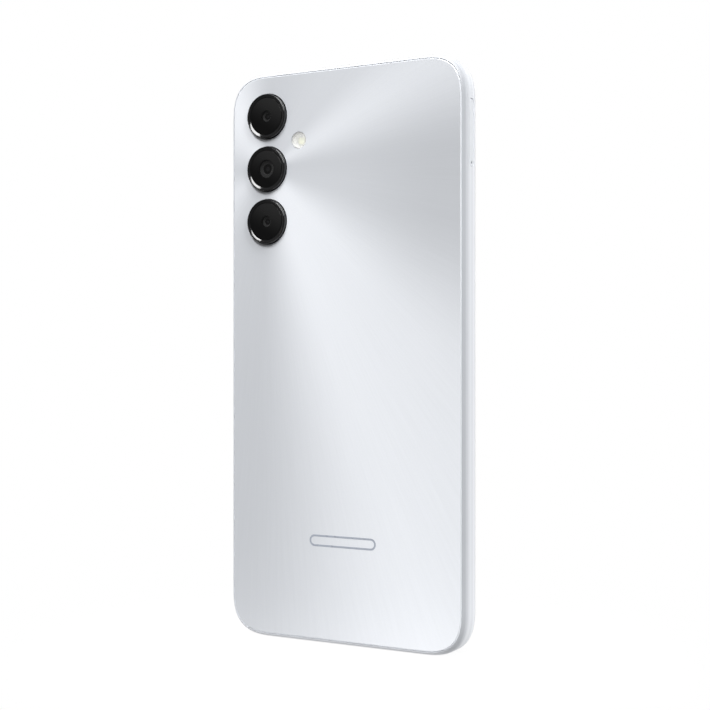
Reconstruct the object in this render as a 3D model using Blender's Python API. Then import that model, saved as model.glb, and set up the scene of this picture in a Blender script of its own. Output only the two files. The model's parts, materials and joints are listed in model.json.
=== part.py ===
"""Smartphone with three round camera rings, as an assembly of separate pieces.

The phone stands upright: +Z runs up its length, the display faces -Y, the rear panel faces +Y, the keys are on
the +X side and the SIM tray is on the -X side. The origin is in the middle of the bottom edge. Lengths in this
script are millimetres, and finish_mesh turns them into metres.
"""

import math

import bmesh
import bpy

MM = 0.001

# Driving dimensions of the outside
BODY_W = 77.8
BODY_H = 168.0
BODY_T = 8.8
RING_RISE = 1.2
CORNER_R = 14.15
CORNER_POWER = 2.94
CORNER_STEPS = 9

FRONT_Y = -(BODY_T + RING_RISE) / 2
BACK_Y = FRONT_Y + BODY_T
RING_TOP_Y = BACK_Y + RING_RISE
MID_Y = (FRONT_Y + BACK_Y) / 2
SIDE_X = BODY_W / 2

# Thicknesses of the layers, from the display to the rear panel
FILM_GAP = 0.1
FIT_GAP = 0.15
GLASS_T = 0.7
LCD_T = 0.45
BACKLIGHT_T = 0.6
CHASSIS_T = 0.5
BATTERY_T = 4.55
BOARD_T = 0.8
PANEL_T = 0.8

GLASS_Y = (FRONT_Y, FRONT_Y + GLASS_T)
LCD_Y = (GLASS_Y[1] + FILM_GAP, GLASS_Y[1] + FILM_GAP + LCD_T)
BACKLIGHT_Y = (LCD_Y[1] + FILM_GAP, LCD_Y[1] + FILM_GAP + BACKLIGHT_T)
CHASSIS_Y = (BACKLIGHT_Y[1] + FILM_GAP, BACKLIGHT_Y[1] + FILM_GAP + CHASSIS_T)
BATTERY_Y = (CHASSIS_Y[1] + FIT_GAP, CHASSIS_Y[1] + FIT_GAP + BATTERY_T)
PANEL_Y = (BACK_Y - PANEL_T, BACK_Y)
MAIN_BOARD_Y = (0.6, 0.6 + BOARD_T)
SUB_BOARD_Y = (-1.3, -1.3 + BOARD_T)
BRACKET_Y = (MAIN_BOARD_Y[1] + 0.25, MAIN_BOARD_Y[1] + 1.25)

# The side frame's section, as (distance inside the outline, y), once round
FRAME_WALL = 2.0
FRAME_SECTION = (
    (1.05, -4.85),
    (0.85, -4.85),
    (0.40, -4.0),
    (0.12, -3.0),
    (0.0, -2.0),
    (0.0, 1.5),
    (0.2, 2.5),
    (0.55, 3.3),
    (0.95, 3.7),
    (1.05, 3.7),
    (1.05, 2.6),
    (FRAME_WALL, 2.6),
    (FRAME_WALL, -3.95),
    (1.05, -3.95),
)
COVER_INSET = 1.2
INNER_X = SIDE_X - FRAME_WALL

# Camera column and flash
CAMERA_X = 25.7
CAMERA_PITCH = 15.67
CAMERA_TOP_Z = BODY_H - 12.95
CAMERA_Z = {
    "top": CAMERA_TOP_Z,
    "middle": CAMERA_TOP_Z - CAMERA_PITCH,
    "bottom": CAMERA_TOP_Z - 2 * CAMERA_PITCH,
}
RING_R = 6.65
RING_FLANGE_R = 7.3
RING_SEAT_R = 5.6
RING_BORE_R = 4.9
COVER_GLASS_T = 0.45
FLASH_X = 14.8
FLASH_Z = CAMERA_TOP_Z - CAMERA_PITCH / 2
FLASH_R = 2.35

# Main camera, with the barrel that focuses
CAMERA_BODY_W = 11.0
CAMERA_BODY_Y = (BATTERY_Y[0], 2.1)
BARREL_R = 3.6
SMALL_CAMERA_W = 6.4
SMALL_CAMERA_Y = (-0.8, 2.1)
FRONT_CAMERA_Z = 160.6
FRONT_CAMERA_W = 6.2

# Keys on the +X side
KEY_H = 2.0
KEY_GAP = 0.2
POWER_Z = 101.0
POWER_L = 15.0
POWER_TOP_X = SIDE_X + 0.3
VOLUME_Z = 129.5
VOLUME_L = 24.0
VOLUME_TOP_X = SIDE_X + 0.4
VOLUME_PLUNGER = 8.0
KEY_FLANGE_X = (35.9, 36.45)
KEY_FLEX_X = (34.3, 34.45)
DOME_H = 0.4

# SIM tray on the -X side
TRAY_Y = -0.73
TRAY_H = 2.4
TRAY_Z = (136.4, 155.2)
TRAY_FACE_X = (-SIDE_X + 0.03, -37.5)
CARRIER_END_X = 0.4
CARRIER_Y = (TRAY_Y - 0.65, TRAY_Y + 0.65)
CARRIER_Z = (139.4, 154.4)
EJECT_Z = 137.4
EJECT_HOLE_R = 0.45
READER_Y = (BATTERY_Y[0] + 0.05, BATTERY_Y[0] + 0.35)
POCKET_X = ((-35.9, -27.0), (-26.2, -17.3), (-16.2, -1.1))
POCKET_W = (12.4, 12.4, 11.1)
POCKET_DEPTH = 0.8
WINDOW_MARGIN = 0.8
WINDOW_W = 9.2
LEVER_PIVOT = (4.4, 145.6)
LEVER_ARM = 8.8
LEVER_Y = (-1.13, -0.33)

# Bottom edge
USB_W = 8.94
USB_H = 3.26
JACK_X = -22.0
JACK_BORE_R = 1.78
MIC_X = -9.5
SPEAKER_HOLES = 6
SPEAKER_HOLE_X = 12.5
SPEAKER_HOLE_PITCH = 2.2
SPEAKER_HOLE_R = 0.65

MOTOR = (-30.6, 25.4)
MOTOR_R = 5.0
MOTOR_Y = (BATTERY_Y[0], BATTERY_Y[0] + 3.0)

BATTERY_X = 32.5
BATTERY_Z = (38.5, 111.5)

# Screws: (x, z, underside of the head, top of the boss that it enters)
BRACKET_HEAD_Y = BRACKET_Y[0] + 0.35
BOARD_HEAD_Y = MAIN_BOARD_Y[1] + FIT_GAP
BOARD_BOSS_Y = MAIN_BOARD_Y[0] - 0.2
SCREWS = {
    "screw_bracket_corner": (-32.3, 159.3, BRACKET_HEAD_Y, BOARD_BOSS_Y),
    "screw_bracket_side": (-33.6, 134.2, BRACKET_HEAD_Y, BOARD_BOSS_Y),
    "screw_bracket_flash": (15.2, 153.9, BRACKET_HEAD_Y, BOARD_BOSS_Y),
    "screw_main_board": (16.4, 118.6, BOARD_HEAD_Y, BOARD_BOSS_Y),
    "screw_sub_board": (5.6, 32.6, SUB_BOARD_Y[1] + FIT_GAP, SUB_BOARD_Y[0] - 0.2),
    "screw_speaker_box": (32.4, 33.6, BOARD_HEAD_Y, 0.25),
}
SCREW_HEAD_R = 1.35
SCREW_HEAD_T = 0.6
SCREW_R = 0.65
SCREW_HOLE_R = 0.95
BOSS_R = 1.6
BOSS_BORE_R = 0.8

# Colour, roughness and metallic value of each material
MATERIALS = {
    "silver_panel": ((0.70, 0.73, 0.77), 0.28, 0.35),
    "silver_frame": ((0.62, 0.64, 0.67), 0.35, 0.3),
    "black_ring": ((0.012, 0.012, 0.014), 0.15, 0.6),
    "dark_glass": ((0.01, 0.01, 0.012), 0.05, 0.0),
    "clear_lens": ((0.85, 0.85, 0.80), 0.1, 0.0),
    "phosphor": ((0.75, 0.70, 0.25), 0.5, 0.0),
    "black_plastic": ((0.02, 0.02, 0.022), 0.5, 0.0),
    "steel": ((0.55, 0.56, 0.58), 0.3, 1.0),
    "magnesium": ((0.35, 0.36, 0.38), 0.45, 1.0),
    "board_green": ((0.02, 0.12, 0.08), 0.5, 0.0),
    "flex_orange": ((0.45, 0.18, 0.03), 0.45, 0.0),
    "battery_wrap": ((0.05, 0.05, 0.055), 0.4, 0.0),
    "backlight_white": ((0.80, 0.80, 0.80), 0.5, 0.0),
    "rubber": ((0.03, 0.03, 0.03), 0.8, 0.0),
    "adhesive": ((0.06, 0.06, 0.06), 0.7, 0.0),
    "paper_cone": ((0.10, 0.10, 0.11), 0.7, 0.0),
    "brass": ((0.70, 0.52, 0.22), 0.35, 1.0),
}


# Outlines


def body_outline(inset):
    """(x, z) points of the phone's outline moved inwards, counter-clockwise as seen from the front."""
    half_w = BODY_W / 2 - inset
    half_h = BODY_H / 2 - inset
    radius = CORNER_R - inset
    quarter = []
    for step in range(CORNER_STEPS + 1):
        turn = math.radians(90.0 * step / CORNER_STEPS)
        across = max(math.cos(turn), 0.0) ** (2 / CORNER_POWER)
        up = max(math.sin(turn), 0.0) ** (2 / CORNER_POWER)
        quarter.append((half_w - radius * (1 - across), half_h - radius * (1 - up)))
    left_top = [(-x, z) for x, z in reversed(quarter)]
    left_bottom = [(-x, -z) for x, z in quarter]
    right_bottom = [(x, -z) for x, z in reversed(quarter)]
    points = quarter + left_top + left_bottom + right_bottom
    return [(x, z + BODY_H / 2) for x, z in points]


def rounded_polygon(corners, steps=4):
    """Points of a polygon whose corners are (u, v, radius); a radius of 0 stays sharp."""
    points = []
    count = len(corners)
    for index, (u, v, radius) in enumerate(corners):
        if radius == 0:
            points.append((u, v))
            continue
        before = corners[index - 1]
        after = corners[(index + 1) % count]
        to_before = math.atan2(before[1] - v, before[0] - u)
        to_after = math.atan2(after[1] - v, after[0] - u)
        spread = (to_before - to_after) % (2 * math.pi)
        half = min(spread, 2 * math.pi - spread) / 2
        mean = to_after + half if spread < math.pi else to_before + half
        reach = radius / math.sin(half)
        centre = (u + reach * math.cos(mean), v + reach * math.sin(mean))
        first = math.atan2(before[1] - v, before[0] - u)
        tangent = radius / math.tan(half)
        start = (u + tangent * math.cos(first), v + tangent * math.sin(first))
        angle = math.atan2(start[1] - centre[1], start[0] - centre[0])
        sweep = math.pi - 2 * half
        if spread > math.pi:
            sweep = -sweep
        for step in range(steps + 1):
            turn = angle + sweep * step / steps
            points.append(
                (centre[0] + radius * math.cos(turn), centre[1] + radius * math.sin(turn))
            )
    return points


def rounded_box(low, high, radius, steps=4):
    """Points of a rectangle from low to high, (u, v) each, with every corner rounded."""
    return rounded_polygon(
        [
            (low[0], low[1], radius),
            (high[0], low[1], radius),
            (high[0], high[1], radius),
            (low[0], high[1], radius),
        ],
        steps,
    )


def circle(centre, radius, segments):
    turns = [2 * math.pi * step / segments for step in range(segments)]
    return [
        (centre[0] + radius * math.cos(turn), centre[1] + radius * math.sin(turn))
        for turn in turns
    ]


# Shapes, added to a bmesh


def skin(bm, loops, closed=False):
    """Joins loops of equally many points into one surface, with both ends capped or joined to each other."""
    rows = [[bm.verts.new(point) for point in loop] for loop in loops]
    pairs = list(zip(rows, rows[1:]))
    if closed:
        pairs.append((rows[-1], rows[0]))
    for lower, upper in pairs:
        count = len(lower)
        for i in range(count):
            j = (i + 1) % count
            bm.faces.new((lower[i], lower[j], upper[j], upper[i]))
    if not closed:
        bm.faces.new(list(reversed(rows[0])))
        bm.faces.new(rows[-1])


def on_axis(points, axis, height):
    """The 3-D points of an outline drawn across an axis, at a height along it."""
    if axis == "X":
        return [(height, u, v) for u, v in points]
    if axis == "Y":
        return [(u, height, v) for u, v in points]
    return [(u, v, height) for u, v in points]


def add_prism(bm, points, axis, span):
    skin(bm, [on_axis(points, axis, height) for height in span])


def add_box(bm, xs, ys, zs):
    corners = [(xs[0], zs[0]), (xs[1], zs[0]), (xs[1], zs[1]), (xs[0], zs[1])]
    add_prism(bm, corners, "Y", ys)


def add_turned(bm, centre, profile, axis="Y", segments=20, closed=False):
    """A turned shape: profile is (radius, height) along the axis, open with flat ends or closed on itself."""
    loops = [on_axis(circle(centre, radius, segments), axis, height) for radius, height in profile]
    skin(bm, loops, closed)


def add_sheet(bm, section, closed=False):
    """A plate or a ring that follows the phone's outline; section is (inset, y)."""
    skin(bm, [on_axis(body_outline(inset), "Y", y) for inset, y in section], closed)


def add_ribbon(bm, path, thickness, xs):
    """A thin flexible strip, bent along a path of (z, y) points, from xs[0] to xs[1]."""
    count = len(path)
    upper = []
    lower = []
    for i in range(count):
        before = path[max(i - 1, 0)]
        after = path[min(i + 1, count - 1)]
        along = (after[0] - before[0], after[1] - before[1])
        length = math.hypot(*along)
        normal = (-along[1] / length, along[0] / length)
        shift = thickness / 2
        upper.append((path[i][0] + normal[0] * shift, path[i][1] + normal[1] * shift))
        lower.append((path[i][0] - normal[0] * shift, path[i][1] - normal[1] * shift))
    section = [(y, z) for z, y in upper + list(reversed(lower))]
    skin(bm, [on_axis(section, "X", x) for x in xs])


# Objects


def make_material(name):
    colour, roughness, metallic = MATERIALS[name]
    material = bpy.data.materials.new(name)
    material.use_nodes = True
    shader = material.node_tree.nodes["Principled BSDF"]
    shader.inputs["Base Color"].default_value = (*colour, 1.0)
    shader.inputs["Roughness"].default_value = roughness
    shader.inputs["Metallic"].default_value = metallic
    material.diffuse_color = (*colour, 1.0)
    return material


def finish_mesh(bm, name, origin):
    """Turns the shapes, drawn in millimetres in the phone's frame, into an object with its own origin."""
    bmesh.ops.recalc_face_normals(bm, faces=bm.faces)
    for vert in bm.verts:
        vert.co = [(vert.co[k] - origin[k]) * MM for k in range(3)]
    mesh = bpy.data.meshes.new(name)
    bm.to_mesh(mesh)
    bm.free()
    mesh.shade_smooth()
    mesh.set_sharp_from_angle(angle=math.radians(35))
    piece = bpy.data.objects.new(name, mesh)
    bpy.context.scene.collection.objects.link(piece)
    piece.location = [value * MM for value in origin]
    return piece


def make_piece(name, material, draw, origin=(0.0, 0.0, 0.0), parent=None):
    """One sub-part: draw fills a bmesh with its shape."""
    bm = bmesh.new()
    draw(bm)
    piece = finish_mesh(bm, name, origin)
    piece.data.materials.append(bpy.data.materials[material])
    if parent is not None:
        piece.parent = parent
        piece.location = piece.location - parent.location
    return piece


def combine(piece, operation, draw, label):
    """Adds a Boolean to the piece, with a helper object that draw fills."""
    bm = bmesh.new()
    draw(bm)
    helper = finish_mesh(bm, f"{piece.name}_{label}", (0.0, 0.0, 0.0))
    helper.hide_render = True
    helper.display_type = "WIRE"
    modifier = piece.modifiers.new(label, "BOOLEAN")
    modifier.operation = operation
    modifier.object = helper
    return helper


def cut(piece, draw, label="cutter"):
    return combine(piece, "DIFFERENCE", draw, label)


def fuse(piece, draw, label="addition"):
    return combine(piece, "UNION", draw, label)


def bevel_edges(piece, width, segments=2):
    modifier = piece.modifiers.new("edges", "BEVEL")
    modifier.width = width * MM
    modifier.segments = segments
    modifier.limit_method = "ANGLE"
    modifier.angle_limit = math.radians(50)


def even_out_shading():
    """Lets the large flat faces decide the shading of every piece that has modifiers."""
    for piece in bpy.data.objects:
        if piece.type == "MESH" and len(piece.modifiers) > 0:
            modifier = piece.modifiers.new("normals", "WEIGHTED_NORMAL")
            modifier.keep_sharp = True


def make_joint_empty(name, origin):
    """An empty on a joint's axis, which the joint's moving pieces hang from."""
    empty = bpy.data.objects.new(name, None)
    empty.empty_display_size = 5 * MM
    bpy.context.scene.collection.objects.link(empty)
    empty.location = [value * MM for value in origin]
    return empty


# The outside shell


def key_slot(bm, z, length):
    """A key's slot through the frame's +X side."""
    half_h = KEY_H / 2 + KEY_GAP
    half_l = length / 2 + KEY_GAP
    points = rounded_box((MID_Y - half_h, z - half_l), (MID_Y + half_h, z + half_l), half_h * 0.98)
    add_prism(bm, points, "X", (INNER_X - 1, SIDE_X + 1))


def tray_slot(bm):
    half_h = TRAY_H / 2 + FIT_GAP
    low = (TRAY_Y - half_h, TRAY_Z[0] - FIT_GAP)
    high = (TRAY_Y + half_h, TRAY_Z[1] + FIT_GAP)
    add_prism(bm, rounded_box(low, high, half_h * 0.98), "X", (-SIDE_X - 1, -INNER_X + 1))


def bottom_holes(bm):
    """Openings in the bottom edge: USB socket, headphone jack, microphone and loudspeaker."""
    below_above = (-1, FRAME_WALL + 1)
    half_w = USB_W / 2 + 0.18
    half_h = USB_H / 2 + 0.17
    usb = rounded_box((-half_w, MID_Y - half_h), (half_w, MID_Y + half_h), half_h * 0.98, 5)
    add_prism(bm, usb, "Z", below_above)
    add_prism(bm, circle((JACK_X, MID_Y), 2.6, 24), "Z", below_above)
    add_prism(bm, circle((MIC_X, MID_Y), 0.5, 12), "Z", below_above)
    for hole in range(SPEAKER_HOLES):
        x = SPEAKER_HOLE_X + hole * SPEAKER_HOLE_PITCH
        add_prism(bm, circle((x, MID_Y), SPEAKER_HOLE_R, 12), "Z", below_above)


def make_side_frame():
    def draw(bm):
        add_sheet(bm, FRAME_SECTION, closed=True)

    def openings(bm):
        key_slot(bm, POWER_Z, POWER_L)
        key_slot(bm, VOLUME_Z, VOLUME_L)
        tray_slot(bm)
        bottom_holes(bm)

    frame = make_piece("side_frame", "silver_frame", draw)
    cut(frame, openings)


def make_rear_panel():
    def draw(bm):
        rim = ((0.3, 0.0), (0.1, -0.05), (0.0, -0.2), (0.0, -PANEL_T))
        add_sheet(bm, [(COVER_INSET + inwards, BACK_Y + y) for inwards, y in rim])

    def holes(bm):
        span = (PANEL_Y[0] - 1, PANEL_Y[1] + 1)
        for z in CAMERA_Z.values():
            add_prism(bm, circle((CAMERA_X, z), RING_R + 0.2, 32), "Y", span)
        add_prism(bm, circle((FLASH_X, FLASH_Z), FLASH_R + FIT_GAP, 24), "Y", span)

    panel = make_piece("rear_panel", "silver_panel", draw)
    cut(panel, holes)


def make_adhesives():
    """The glue gaskets that hold the rear panel and the display to the frame's ledges."""
    gaskets = {"rear_panel_adhesive": (2.68, 2.92), "display_adhesive": (-4.22, -4.03)}
    for name, (low, high) in gaskets.items():
        section = ((1.3, low), (1.3, high), (1.9, high), (1.9, low))
        make_piece(name, "adhesive", lambda bm, section=section: add_sheet(bm, section, closed=True))


def front_camera_notch(bm, half_w, bottom_z, ys):
    """A U-shaped cut from the top edge for the front camera."""
    top = BODY_H + 1
    corners = [
        (-half_w, bottom_z, half_w * 0.3),
        (half_w, bottom_z, half_w * 0.3),
        (half_w, top, 0),
        (-half_w, top, 0),
    ]
    add_prism(bm, rounded_polygon(corners), "Y", ys)


def make_display():
    def glass_shape(bm):
        rim = ((0.3, 0.0), (0.05, 0.1), (0.0, 0.25), (0.0, GLASS_T))
        add_sheet(bm, [(COVER_INSET + inwards, FRONT_Y + y) for inwards, y in rim])

    def earpiece_notch(bm):
        add_box(bm, (-6.2, 6.2), (FRONT_Y - 1, GLASS_Y[1] + 1), (166.0, BODY_H))

    def camera_notch(bm):
        front_camera_notch(bm, 3.5, 157.1, (LCD_Y[0] - 1, LCD_Y[1] + 0.05))

    def backlight_cuts(bm):
        ys = (BACKLIGHT_Y[0] - 0.05, BACKLIGHT_Y[1] + 1)
        front_camera_notch(bm, 3.5, 157.1, ys)
        add_box(bm, (-SIDE_X, SIDE_X), ys, (-1, 6.8))

    glass = make_piece("display_glass", "dark_glass", glass_shape)
    cut(glass, earpiece_notch)
    lcd = make_piece("lcd_panel", "dark_glass", lambda bm: add_sheet(bm, [(2.6, y) for y in LCD_Y]))
    cut(lcd, camera_notch)
    backlight = make_piece(
        "backlight_unit", "backlight_white", lambda bm: add_sheet(bm, [(2.7, y) for y in BACKLIGHT_Y])
    )
    cut(backlight, backlight_cuts)

    def mesh_shape(bm):
        add_box(bm, (-6.0, 6.0), (FRONT_Y + 0.08, GLASS_Y[1] - 0.1), (166.12, 166.8))

    make_piece("earpiece_mesh", "steel", mesh_shape)


# The frame inside


def make_mid_chassis():
    def plate(bm):
        add_sheet(bm, [(FRAME_WALL + FIT_GAP, y) for y in CHASSIS_Y])

    inside_plate = CHASSIS_Y[0] + 0.2

    def bosses(bm):
        for x, z, _, top in SCREWS.values():
            add_prism(bm, circle((x, z), BOSS_R, 16), "Y", (inside_plate, top))
        for side in (-1, 1):
            xs = sorted((side * 33.3, side * 34.1))
            add_box(bm, xs, (inside_plate, -0.5), (42.0, 108.0))
        half = SMALL_CAMERA_W / 2
        for place in ("top", "bottom"):
            z = CAMERA_Z[place]
            xs = (CAMERA_X - half, CAMERA_X + half)
            add_box(bm, xs, (inside_plate, SMALL_CAMERA_Y[0] - FIT_GAP), (z - half, z + half))

    def holes(bm):
        through = (CHASSIS_Y[0] - 1, 2.0)
        for x, z, _, _ in SCREWS.values():
            add_prism(bm, circle((x, z), BOSS_BORE_R, 12), "Y", through)
        half = FRONT_CAMERA_W / 2 + 0.3
        add_box(bm, (-half, half), through, (FRONT_CAMERA_Z - half, FRONT_CAMERA_Z + half))
        add_box(bm, (6.0, 14.0), through, (159.6, 162.4))
        add_box(bm, (JACK_X - 3.4, JACK_X + 3.4), through, (-1, 15.2))
        add_box(bm, (-17.2, -11.8), through, (-1, 5.4))

    chassis = make_piece("mid_chassis", "magnesium", plate)
    fuse(chassis, bosses)
    cut(chassis, holes)


def make_screws():
    for name, (x, z, head_y, boss_top) in SCREWS.items():
        tip_y = max(min(head_y - 2.4, boss_top - 0.6), CHASSIS_Y[0] + 0.3)
        profile = (
            (SCREW_R, tip_y),
            (SCREW_R, head_y),
            (SCREW_HEAD_R, head_y),
            (SCREW_HEAD_R, head_y + SCREW_HEAD_T),
        )

        def draw(bm, x=x, z=z, profile=profile):
            add_turned(bm, (x, z), profile, segments=12)

        def recess(bm, x=x, z=z, head_y=head_y):
            long_arm, short_arm = 0.75, 0.18
            corners = []
            for quarter in range(4):
                turn = quarter * math.pi / 2
                for u, v in ((long_arm, -short_arm), (long_arm, short_arm), (short_arm, short_arm)):
                    corners.append(
                        (
                            x + u * math.cos(turn) - v * math.sin(turn),
                            z + u * math.sin(turn) + v * math.cos(turn),
                        )
                    )
            add_prism(bm, corners, "Y", (head_y + 0.25, head_y + 1.5))

        screw = make_piece(name, "steel", draw, origin=(x, head_y, z))
        cut(screw, recess, "recess")


# Cameras and flash


def make_cameras():
    ring_profile = (
        (RING_FLANGE_R, PANEL_Y[0] - 0.7),
        (RING_FLANGE_R, PANEL_Y[0] - 0.2),
        (RING_R, PANEL_Y[0] - 0.2),
        (RING_R, RING_TOP_Y - 0.25),
        (RING_R - 0.25, RING_TOP_Y),
        (RING_SEAT_R + 0.45, RING_TOP_Y),
        (RING_SEAT_R, RING_TOP_Y - 0.2),
        (RING_SEAT_R, RING_TOP_Y - 0.9),
        (RING_BORE_R, RING_TOP_Y - 0.9),
        (RING_BORE_R, PANEL_Y[0] - 0.7),
    )
    glass_low = RING_TOP_Y - 0.9 + FIT_GAP
    glass_r = RING_SEAT_R - FIT_GAP
    for place, z in CAMERA_Z.items():
        centre = (CAMERA_X, z)
        origin = (CAMERA_X, BACK_Y, z)

        def ring(bm, centre=centre):
            add_turned(bm, centre, ring_profile, segments=32, closed=True)

        def glass(bm, centre=centre):
            edge = ((glass_r, glass_low), (glass_r, glass_low + COVER_GLASS_T))
            add_turned(bm, centre, edge, segments=32)

        make_piece(f"camera_ring_{place}", "black_ring", ring, origin)
        make_piece(f"camera_glass_{place}", "dark_glass", glass, origin)


def make_main_camera():
    z = CAMERA_Z["middle"]
    half = CAMERA_BODY_W / 2
    centre = (CAMERA_X, z)

    def body(bm):
        add_box(bm, (CAMERA_X - half, CAMERA_X + half), CAMERA_BODY_Y, (z - half, z + half))

    def bore(bm):
        add_prism(bm, circle(centre, BARREL_R + 0.3, 24), "Y", (CAMERA_BODY_Y[0] + 0.7, 4))

    def barrel(bm):
        profile = (
            (BARREL_R, CAMERA_BODY_Y[0] + 1.1),
            (BARREL_R, 1.9),
            (BARREL_R - 0.4, 2.2),
            (BARREL_R - 0.4, 3.2),
            (BARREL_R - 1.1, 3.3),
            (BARREL_R - 1.8, 2.7),
        )
        add_turned(bm, centre, profile)

    housing = make_piece("main_camera_body", "black_plastic", body)
    cut(housing, bore)
    slide = make_joint_empty("focus_axis", (CAMERA_X, 0.0, z))
    make_piece("focus_barrel", "black_plastic", barrel, (CAMERA_X, 0.0, z), slide)


def make_small_cameras():
    half = SMALL_CAMERA_W / 2
    for name, place in (("macro_camera", "top"), ("depth_camera", "bottom")):
        z = CAMERA_Z[place]

        def body(bm, z=z):
            add_box(bm, (CAMERA_X - half, CAMERA_X + half), SMALL_CAMERA_Y, (z - half, z + half))

        def snout(bm, z=z):
            profile = ((2.6, 1.5), (2.6, 3.1), (2.2, 3.4), (1.4, 3.0))
            add_turned(bm, (CAMERA_X, z), profile, segments=16)

        camera = make_piece(name, "black_plastic", body)
        fuse(camera, snout, "snout")


def make_front_camera():
    half = FRONT_CAMERA_W / 2
    zs = (FRONT_CAMERA_Z - half, FRONT_CAMERA_Z + half)
    camera = make_piece(
        "front_camera", "black_plastic", lambda bm: add_box(bm, (-half, half), (-3.5, -0.3), zs)
    )

    def snout(bm):
        profile = ((1.9, -3.0), (1.9, GLASS_Y[1] + 0.15), (1.2, GLASS_Y[1] + 0.15))
        add_turned(bm, (0.0, FRONT_CAMERA_Z), profile, segments=16)

    fuse(camera, snout, "snout")


def make_flash():
    lens_profile = (
        (FLASH_R + 0.4, PANEL_Y[0] - 0.7),
        (FLASH_R + 0.4, PANEL_Y[0] - 0.25),
        (FLASH_R, PANEL_Y[0] - 0.25),
        (FLASH_R, BACK_Y + 0.02),
        (FLASH_R - 0.1, BACK_Y + 0.08),
    )
    centre = (FLASH_X, FLASH_Z)
    make_piece("flash_lens", "clear_lens", lambda bm: add_turned(bm, centre, lens_profile))
    xs = (FLASH_X - 1.7, FLASH_X + 1.7)
    zs = (FLASH_Z - 1.7, FLASH_Z + 1.7)
    ys = (MAIN_BOARD_Y[1] + FILM_GAP, MAIN_BOARD_Y[1] + 0.7)
    make_piece("flash_led", "phosphor", lambda bm: add_box(bm, xs, ys, zs))


# Boards, battery and flexes


def make_main_board():
    corners = [(-36.2, 113.5, 1.5), (18.6, 113.5, 1.5), (18.6, 165.2, 3.0), (-36.2, 165.2, 8.0)]

    def draw(bm):
        add_prism(bm, rounded_polygon(corners), "Y", MAIN_BOARD_Y)

    def holes(bm):
        for name, (x, z, _, _) in SCREWS.items():
            if "bracket" in name or name == "screw_main_board":
                ys = (MAIN_BOARD_Y[0] - 1, MAIN_BOARD_Y[1] + 1)
                add_prism(bm, circle((x, z), SCREW_HOLE_R, 12), "Y", ys)

    board = make_piece("main_board", "board_green", draw)
    cut(board, holes)


def make_shield(name, low, high, ys, opens_at_high_y):
    """A pressed can: four walls and a lid, open towards the board."""
    wall = 0.25
    shield = make_piece(name, "steel", lambda bm: add_box(bm, (low[0], high[0]), ys, (low[1], high[1])))
    pocket = (ys[0] + wall, ys[1] + 1) if opens_at_high_y else (ys[0] - 1, ys[1] - wall)

    def hollow(bm):
        add_box(bm, (low[0] + wall, high[0] - wall), pocket, (low[1] + wall, high[1] - wall))

    cut(shield, hollow)


def make_board_parts():
    make_shield("processor_shield", (-29.5, 116.0), (5.5, 133.4), (-2.1, 0.45), True)
    make_shield("radio_shield", (-30.0, 118.5), (-10.0, 131.0), (1.5, 2.5), False)
    make_piece(
        "processor_chip",
        "black_plastic",
        lambda bm: add_box(bm, (-14.0, -1.0), (-0.8, 0.5), (118.5, 131.5)),
    )


def make_antenna_bracket():
    corners = [(-35.8, 131.8, 1.0), (18.2, 131.8, 1.0), (18.2, 164.4, 3.0), (-35.8, 164.4, 8.0)]

    def draw(bm):
        add_prism(bm, rounded_polygon(corners), "Y", BRACKET_Y)

    def openings(bm):
        ys = (BRACKET_Y[0] - 1, BRACKET_Y[1] + 1)
        for name, (x, z, head_y, _) in SCREWS.items():
            if "bracket" in name:
                steps = (
                    (SCREW_HOLE_R, ys[0]),
                    (SCREW_HOLE_R, head_y - 0.1),
                    (SCREW_HEAD_R + 0.2, head_y - 0.1),
                    (SCREW_HEAD_R + 0.2, ys[1]),
                )
                add_turned(bm, (x, z), steps, segments=12)
        add_prism(bm, circle((FLASH_X, FLASH_Z), FLASH_R + 0.6, 20), "Y", ys)
        add_box(bm, (-24.0, -4.0), ys, (137.0, 150.0))

    bracket = make_piece("antenna_bracket", "black_plastic", draw)
    cut(bracket, openings)


def make_sub_board():
    corners = [
        (-17.6, 5.0, 0.5),
        (-4.95, 5.0, 0),
        (-4.95, 9.0, 0),
        (4.95, 9.0, 0),
        (4.95, 5.0, 0),
        (8.6, 5.0, 0.5),
        (8.6, 35.5, 1.0),
        (-24.6, 35.5, 1.0),
        (-24.6, 19.0, 1.0),
        (-17.6, 19.0, 0),
    ]
    board = make_piece(
        "sub_board", "board_green", lambda bm: add_prism(bm, rounded_polygon(corners), "Y", SUB_BOARD_Y)
    )
    x, z, _, _ = SCREWS["screw_sub_board"]
    ys = (SUB_BOARD_Y[0] - 1, SUB_BOARD_Y[1] + 1)
    cut(board, lambda bm: add_prism(bm, circle((x, z), SCREW_HOLE_R, 12), "Y", ys))
    mic_y = (SUB_BOARD_Y[0] - 0.9, SUB_BOARD_Y[0] - FIT_GAP)
    make_piece(
        "bottom_microphone",
        "steel",
        lambda bm: add_box(bm, (MIC_X - 1.7, MIC_X + 1.7), mic_y, (5.4, 8.2)),
    )


def make_battery():
    battery = make_piece(
        "battery", "battery_wrap", lambda bm: add_box(bm, (-BATTERY_X, BATTERY_X), BATTERY_Y, BATTERY_Z)
    )
    bevel_edges(battery, 0.8)


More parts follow.
